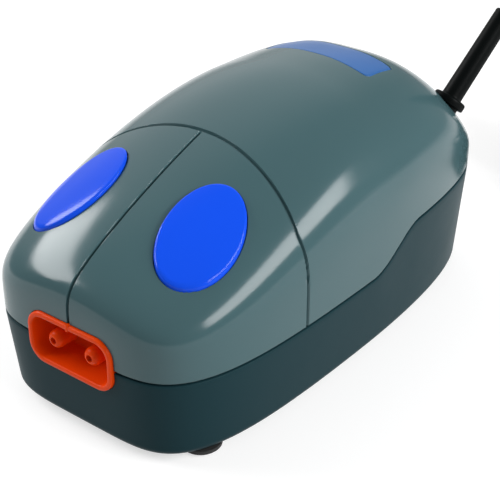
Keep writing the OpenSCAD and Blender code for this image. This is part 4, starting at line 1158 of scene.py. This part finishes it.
class PUMP_OT_cover(bpy.types.Operator):
    """Moulds the grey cover with its grooves, recesses and openings"""

    bl_idname = "pump.cover"
    bl_label = "Cover"
    segments = 256
    rings, inner_rings = 160, 24
    fine_bands = 1.8 * MM, 0.9 * MM
    flange_room = 15 * MM
    hole_low, hole_high, hole_clear = 9 * MM, 1 * MM, 0.7 * MM
    groove_lip, groove_slope = 1.05, 0.6
    recess_slope = 0.18 * MM

    def execute(self, context):
        pump = Pump(context.scene)
        h, skin = pump.housing, pump.skin
        lift = h.seam_gap / 2
        outer = half_ball("cover_shell", self.segments, self.rings, True)
        lines = nearest(pump.groove_lines())

        def off_marks(p):
            """Distance from the nearest groove or recess edge."""
            off = lines.find(p)[2]
            if pump.on_top(p):
                off = min(off, abs(pump.off_oval(p.x, p.y)), abs(pump.off_plate(p.x, p.y)))
            return off

        def on_skin(a, b):
            return skin.upper(a, b, 0, lift)

        for band in self.fine_bands:
            with Editing(outer) as work:
                work.choose(
                    lambda face: off_marks(on_skin(*bearings(face.calc_center_median()))) < band
                )
                bpy.ops.mesh.subdivide(number_cuts=2)
        moulded_onto(outer, on_skin)
        self.press(pump, outer, lines)
        inner = half_ball("cover_inside", self.segments, self.inner_rings, True)
        moulded_onto(inner, lambda a, b: skin.upper(a, b, h.wall, lift))
        cover = closed_shell(outer, inner, h.edge_r)
        combined(cover, pump.cowl_opening(), "DIFFERENCE")
        lead, seat, axis = pump.lead, pump.relief_seat, pump.relief_axis
        flange_r = lead.flange_d / 2 + pump.details.pad_clear
        combined(cover, rod(seat, seat + self.flange_room * axis, flange_r), "DIFFERENCE")
        low, high = seat - self.hole_low * axis, seat + self.hole_high * axis
        combined(cover, rod(low, high, lead.sleeve_d / 2 + self.hole_clear), "DIFFERENCE")
        finished(cover, SHELL_CREASE)
        shell = moulded("cover_grey", pump.finish.cover, 0.15, relief=0.012, specular=0.3)
        dressed(cover, shell, replaced=("top_cover",))
        return {"FINISHED"}

    def press(self, pump, outer, lines):
        """Presses the grooves and the pads' recesses into the skin."""
        d = pump.details
        outer.data.update()
        normals = [vert.normal.copy() for vert in outer.data.vertices]
        for vert, normal in zip(outer.data.vertices, normals):
            p = vert.co
            share = lines.find(p)[2] / (d.groove_w / 2)
            depth = d.groove_d * smooth((self.groove_lip - share) / self.groove_slope)
            if pump.on_top(p):
                off = min(pump.off_oval(p.x, p.y), pump.off_plate(p.x, p.y)) - d.pad_clear
                depth = max(depth, d.recess_d * smooth(-off / self.recess_slope))
            vert.co = p - depth * normal
        outer.data.update()


class PUMP_OT_tray(bpy.types.Operator):
    """Moulds the slate tray with its rim and openings"""

    bl_idname = "pump.tray"
    bl_label = "Tray"
    segments = 256
    rings, inner_rings = 80, 40
    filter_clear, filter_frame = 0.1 * MM, 1.5 * MM

    def execute(self, context):
        pump = Pump(context.scene)
        h, skin = pump.housing, pump.skin
        lift = h.seam_gap / 2
        outer = half_ball("tray_shell", self.segments, self.rings, False)
        moulded_onto(outer, lambda a, b: skin.lower(a, b, 0, lift))
        inner = half_ball("tray_inside", self.segments, self.inner_rings, False)
        moulded_onto(inner, lambda a, b: skin.lower(a, b, h.wall, lift))
        tray = closed_shell(outer, inner, h.edge_r)
        low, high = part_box("filter_cover")
        past = 1 * MM
        for grow, top in (
            (self.filter_clear, high.z),
            (-self.filter_frame, h.stand_h + h.wall + past),
        ):
            corner = (low.x - grow, low.y - grow, -past)
            recess = block(corner, (high.x + grow, high.y + grow, top), "filter_recess")
            combined(tray, recess, "DIFFERENCE")
        combined(tray, pump.cowl_opening(), "DIFFERENCE")
        finished(tray, SHELL_CREASE)
        slate = pump.finish.tray
        shell = moulded("tray_slate", slate, 0.40, grain=3500.0, relief=0.10, specular=0.05)
        dressed(tray, shell, replaced=("base_tray",))
        return {"FINISHED"}


def laid_on_skin(pump, name, rim, mid, levels, segments=128):
    """A pad that follows the skin: a ball laid out by shares of a rim and heights over the skin."""
    pad = ball(name, segments, len(levels) + 1)
    step = math.pi / (len(levels) + 1)

    def place(a, b):
        i = round((b + math.pi / 2) / step) - 1
        share, up = levels[min(max(i, 0), len(levels) - 1)]
        if i < 0 or i >= len(levels):
            share = 0.0
        px, py = rim(a)
        x, y = mid[0] + share * px, mid[1] + share * py
        return Vector((x, y, pump.skin.height(x, y) + up))

    return moulded_onto(pad, place)


class PUMP_OT_pads(bpy.types.Operator):
    """Sets the blue oval pads and the bare label plate into the cover"""

    bl_idname = "pump.pads"
    bl_label = "Pads and plate"
    edge_share, edge_h, foot_h, dome_h = 0.075, 0.75 * MM, 0.2 * MM, 0.22 * MM
    dome_shares = (0.85, 0.75, 0.62, 0.5, 0.38, 0.25, 0.12)
    plate_n, plate_sunk = 14, 0.05 * MM
    plate_shares = (0.96, 0.9, 0.8, 0.7, 0.6, 0.5, 0.4, 0.3, 0.2, 0.1)
    smooth_to = math.radians(50)

    def execute(self, context):
        pump = Pump(context.scene)
        d = pump.details
        top, low = d.oval_raise, -d.recess_d
        edge = [
            (1 - self.edge_share * (1 - math.cos(t)), top - self.edge_h * (1 - math.sin(t)))
            for t in angles(0, 90, 10)
        ]
        dome = [(s, top + self.dome_h * (1 - s * s)) for s in self.dome_shares]
        levels = [(0.5, low), (0.97, low), (1.0, low + self.foot_h), *edge, *dome]
        blue = moulded("pad_blue", pump.finish.pad, 0.12, relief=0.012, specular=0.14)
        c, s = math.cos(d.oval_turn), math.sin(d.oval_turn)
        for side, name in ((1, "right"), (-1, "left")):

            def rim(a, side=side):
                px, py = d.oval_w / 2 * math.cos(a), d.oval_l / 2 * math.sin(a)
                return side * (c * side * px - s * py), s * side * px + c * py

            pad = laid_on_skin(pump, f"{name}_oval", rim, (side * d.oval_x, d.oval_y), levels)
            finished(pad, self.smooth_to)
            dressed(pad, blue, replaced=(f"{name}_oval_pad",))
        self.plate(pump)
        return {"FINISHED"}

    def plate(self, pump):
        """The bare plate, nearly flush with the crown."""
        d = pump.details

        def rim(a):
            u = squared_unit(a, self.plate_n)
            return d.label_w / 2 * u[0], d.label_l / 2 * u[1]

        low, top = -d.recess_d, -self.plate_sunk
        under = [(s, low) for s in (0.25, 0.5, 0.75, 1.0)]
        edge = [(s, top - down * MM) for s, down in ((1.0, 0.25), (0.995, 0.1), (0.985, 0.02))]
        levels = [*under, *edge, *((s, top) for s in self.plate_shares)]
        plate = laid_on_skin(pump, "label_face", rim, (0, d.label_y), levels, 192)
        finished(plate, self.smooth_to)
        blue = moulded("plate_blue", pump.finish.plate, 0.30, relief=0.02, specular=0.3)
        dressed(plate, blue, replaced=("label_plate",))


class PUMP_OT_outlets(bpy.types.Operator):
    """Models the orange cowl with its two nozzles"""

    bl_idname = "pump.outlets"
    bl_label = "Outlets"
    rim_r, floor_r = 0.45 * MM, 0.5 * MM
    flange_in, flange_t, flange_over = 0.85 * MM, 1.5 * MM, 1.6 * MM
    tick_half_w, tick_l, tick_proud, tick_down = 0.45 * MM, 1.2 * MM, 0.12 * MM, 0.15 * MM
    tick_r = 0.2 * MM
    tip_h, spigot_edge = 1.8 * MM, 0.4 * MM
    least_turn = 0.5

    def execute(self, context):
        pump = Pump(context.scene)
        d = pump.details
        low = (-d.cowl_w / 2, pump.rim_y, pump.port_z - d.cowl_h / 2)
        high = (d.cowl_w / 2, pump.back_y, pump.port_z + d.cowl_h / 2)
        cowl = rounded_block(low, high, d.cowl_r, 1, "outlet_cowl", 12)
        with Editing(cowl) as work:
            work.choose(lambda face: face.normal.y < -SQUARE_ON)
            bpy.ops.mesh.inset(thickness=d.cowl_wall)
            bpy.ops.mesh.extrude_region_move(TRANSFORM_OT_translate={"value": (0, d.cowl_depth, 0)})
        with Editing(cowl, "EDGE") as work:
            work.choose(lambda edge: lies(edge, 1, pump.rim_y) and self.turns(edge))
            bpy.ops.mesh.bevel(offset=self.rim_r, segments=3, affect="EDGES")
        with Editing(cowl, "EDGE") as work:
            work.choose(lambda edge: lies(edge, 1, pump.hollow_y))
            bpy.ops.mesh.bevel(offset=self.floor_r, segments=3, affect="EDGES")
        combined(cowl, self.flange(pump, low, high), "UNION")
        tick = rounded_block(
            (-self.tick_half_w, low[1] - self.tick_proud, high[2] - d.cowl_wall - self.tick_down),
            (self.tick_half_w, low[1] + self.tick_l, high[2] + self.tick_proud),
            self.tick_r,
            2,
            segments=3,
        )
        combined(cowl, tick, "UNION")
        for side in (-1, 1):
            x, z = side * pump.port_x, pump.port_z
            combined(cowl, self.nozzle(pump, x), "UNION")
            front, back = (x, pump.rim_y - MM, z), (x, pump.back_y + 2 * d.spigot_l, z)
            combined(cowl, rod(front, back, d.bore_d / 2), "DIFFERENCE")
        finished(cowl, SHELL_CREASE)
        orange = moulded("cowl_orange", pump.finish.cowl, 0.34, relief=0.02, specular=0.12)
        dressed(cowl, orange, replaced=("outlet_fitting",))
        return {"FINISHED"}

    def flange(self, pump, low, high):
        """The rim round the cowl that holds it behind the wall of the nose."""
        y = -pump.skin.half_l + pump.housing.wall + self.flange_in
        rings = []
        for over, front, back in (
            (self.flange_over, y, y + self.flange_t),
            (-self.flange_over / 2, y - MM, y + 2 * self.flange_t),
        ):
            corner = (low[0] - over, front, low[2] - over)
            other = (high[0] + over, back, high[2] + over)
            rings.append(rounded_block(corner, other, pump.details.cowl_r + over, 1))
        return combined(*rings, "DIFFERENCE")

    def turns(self, edge):
        """Is an edge between two faces that turn away from each other?"""
        return len(edge.link_faces) == 2 and edge.calc_face_angle(0) > self.least_turn

    def nozzle(self, pump, x):
        """A bullet-tipped nozzle, in one with its spigot behind the cowl."""
        d = pump.details
        r = d.nozzle_d / 2
        tip = d.cowl_depth - d.tip_back
        lip, dome, edge = d.bore_d / 2, self.tip_h, self.spigot_edge
        back = -(pump.back_y - pump.hollow_y) - d.spigot_l
        rounded = [
            (lip + (r - lip) * math.cos(t), tip - dome + dome * math.sin(t))
            for t in angles(0, 90, 10)
        ]
        profile = [(0, back), (r - edge, back), (r, back + edge), *rounded, (0, tip)]
        nozzle = spun("nozzle", profile, 48)
        nozzle.rotation_euler = (math.radians(90), 0, 0)
        nozzle.location = (x, pump.hollow_y, pump.port_z)
        return finished(nozzle)


RUBBER_TONE = (0.014, 0.014, 0.014)


class PUMP_OT_bellows(bpy.types.Operator):
    """Turns the rubber bellows, which the arms squeeze and stretch"""

    bl_idname = "pump.bellows"
    bl_label = "Bellows"
    rim_t, button_t = 1.6 * MM, 1.2 * MM

    def execute(self, context):
        reach = context.scene.pump_details.bellows_l
        soft = rubber("bellows_rubber", RUBBER_TONE)
        for side, name in ((1, "right"), (-1, "left")):
            low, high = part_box(f"{name}_bellows")
            x = low.x if side > 0 else high.x
            foot = Vector((x, (low.y + high.y) / 2, (low.z + high.z) / 2))
            profile = self.profile((high.y - low.y) / 2, reach, high.x - low.x)
            bellows = spun(f"{name}_bellows_rubber", profile)
            bellows.rotation_euler = (0, side * math.radians(90), 0)
            bellows.location = foot
            finished(bellows)
            bellows.data.materials.append(soft)
            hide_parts(f"{name}_bellows")
            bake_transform(bellows)
        return {"FINISHED"}

    def profile(self, r, reach, end):
        """Half a bellows: its hollow, its folded wall, its button and the bulb behind the arm."""
        button, nipple, bulb, bulb_l = 4.6 * MM, 2 * MM, 3.4 * MM, 2 * MM
        hollow = [
            (0, reach - 2.6 * MM), (button + 1.5 * MM, reach - 3 * MM), (r - 2.9 * MM, 4.2 * MM),
            (r - 2 * MM, 3.6 * MM), (r - 3 * MM, 2.2 * MM), (r - 1.6 * MM, 0),
        ]
        wall = [
            (r, 0), (r, self.rim_t), (r - 1.6 * MM, 2.2 * MM), (r - 0.6 * MM, 3.7 * MM),
            (r - 1.6 * MM, 5 * MM), (button + 2.4 * MM, reach - 1.7 * MM),
            (button, reach - self.button_t),
        ]
        folds = [tuple(p) for part in (hollow, wall) for p in curved([Vector(q) for q in part], 3)]
        tip = end - bulb_l
        stem = [(button, reach), (nipple, reach), (nipple, tip), (bulb, tip)]
        rounded = rounded_corner((bulb - 0.5 * MM, end), (bulb, tip), (0, end), 0.6 * MM)
        return [*folds, *stem, *rounded, (0, end)]


class PUMP_OT_solids(bpy.types.Operator):
    """Gives the feet, the filter, the screws and the works their finishes"""

    bl_idname = "pump.solids"
    bl_label = "Feet and works"

    def execute(self, context):
        tray = context.scene.pump_finish.tray
        steel = metal("plated_steel", (0.56, 0.57, 0.58), 0.32)
        white = moulded("works_plastic", (0.66, 0.66, 0.63), 0.42, relief=0.05)
        soft = rubber("soft_rubber", RUBBER_TONE)
        swung = metal("arm_steel", (0.42, 0.44, 0.46), 0.35, (1, 1, 30))
        ferrite = moulded("magnet_ferrite", (0.032, 0.032, 0.034), 0.6, relief=0.2)
        finishes = {
            soft: ("rubber_feet", "left_valve_flaps", "right_valve_flaps"),
            steel: (
                "cover_screws", "core_strap", "strap_screws", "chamber_screws", "left_pivot_pin",
                "right_pivot_pin", "bracket_screws",
            ),
            white: (
                "coil_bobbin", "left_chamber", "right_chamber", "left_valve_plate",
                "right_valve_plate", "left_pivot_bracket", "right_pivot_bracket",
            ),
            swung: ("left_arm", "right_arm"),
            ferrite: ("left_magnet", "right_magnet"),
            laid_iron("core_sheets", (0.16, 0.16, 0.17)): ("iron_core",),
            wound("copper_wire", (0.42, 0.12, 0.035)): ("coil_winding",),
            moulded("lead_red", (0.34, 0.012, 0.012), 0.45): ("coil_leads",),
            rubber("hose_silicone", (0.45, 0.47, 0.47), 0.4): ("left_hose", "right_hose"),
            felted("filter_felt", (0.78, 0.78, 0.75)): ("filter_felt",),
            moulded("filter_slate", tray, 0.42, grain=3500.0, relief=0.10): ("filter_cover",),
        }
        for material, nodes in finishes.items():
            for node in nodes:
                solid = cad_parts[node]
                solid.data.materials.clear()
                solid.data.materials.append(material)
        return {"FINISHED"}


STEPS = (
    PUMP_OT_stage,
    PUMP_OT_lead,
    PUMP_OT_cover,
    PUMP_OT_tray,
    PUMP_OT_pads,
    PUMP_OT_outlets,
    PUMP_OT_bellows,
    PUMP_OT_solids,
)


class PUMP_PT_panel(bpy.types.Panel):
    """Lists the steps of the pump in the sidebar"""

    bl_label = "Air pump"
    bl_idname = "PUMP_PT_panel"
    bl_space_type = "VIEW_3D"
    bl_region_type = "UI"
    bl_category = "Air pump"

    def draw(self, context):
        for step in STEPS:
            self.layout.operator(step.bl_idname)
        for name, group in GROUPS.items():
            box = self.layout.box()
            box.label(text=group.__doc__)
            for value in group.__annotations__:
                box.prop(getattr(context.scene, name), value)


def register():
    for name, group in GROUPS.items():
        bpy.utils.register_class(group)
        setattr(bpy.types.Scene, name, bpy.props.PointerProperty(type=group))
    for item in (*STEPS, PUMP_PT_panel):
        bpy.utils.register_class(item)


def unregister():
    for item in reversed((*STEPS, PUMP_PT_panel)):
        bpy.utils.unregister_class(item)
    for name, group in reversed(GROUPS.items()):
        delattr(bpy.types.Scene, name)
        bpy.utils.unregister_class(group)


def main():
    register()
    for step in STEPS:
        section, name = step.bl_idname.split(".")
        getattr(getattr(bpy.ops, section), name)()


if __name__ == "__main__":
    main()
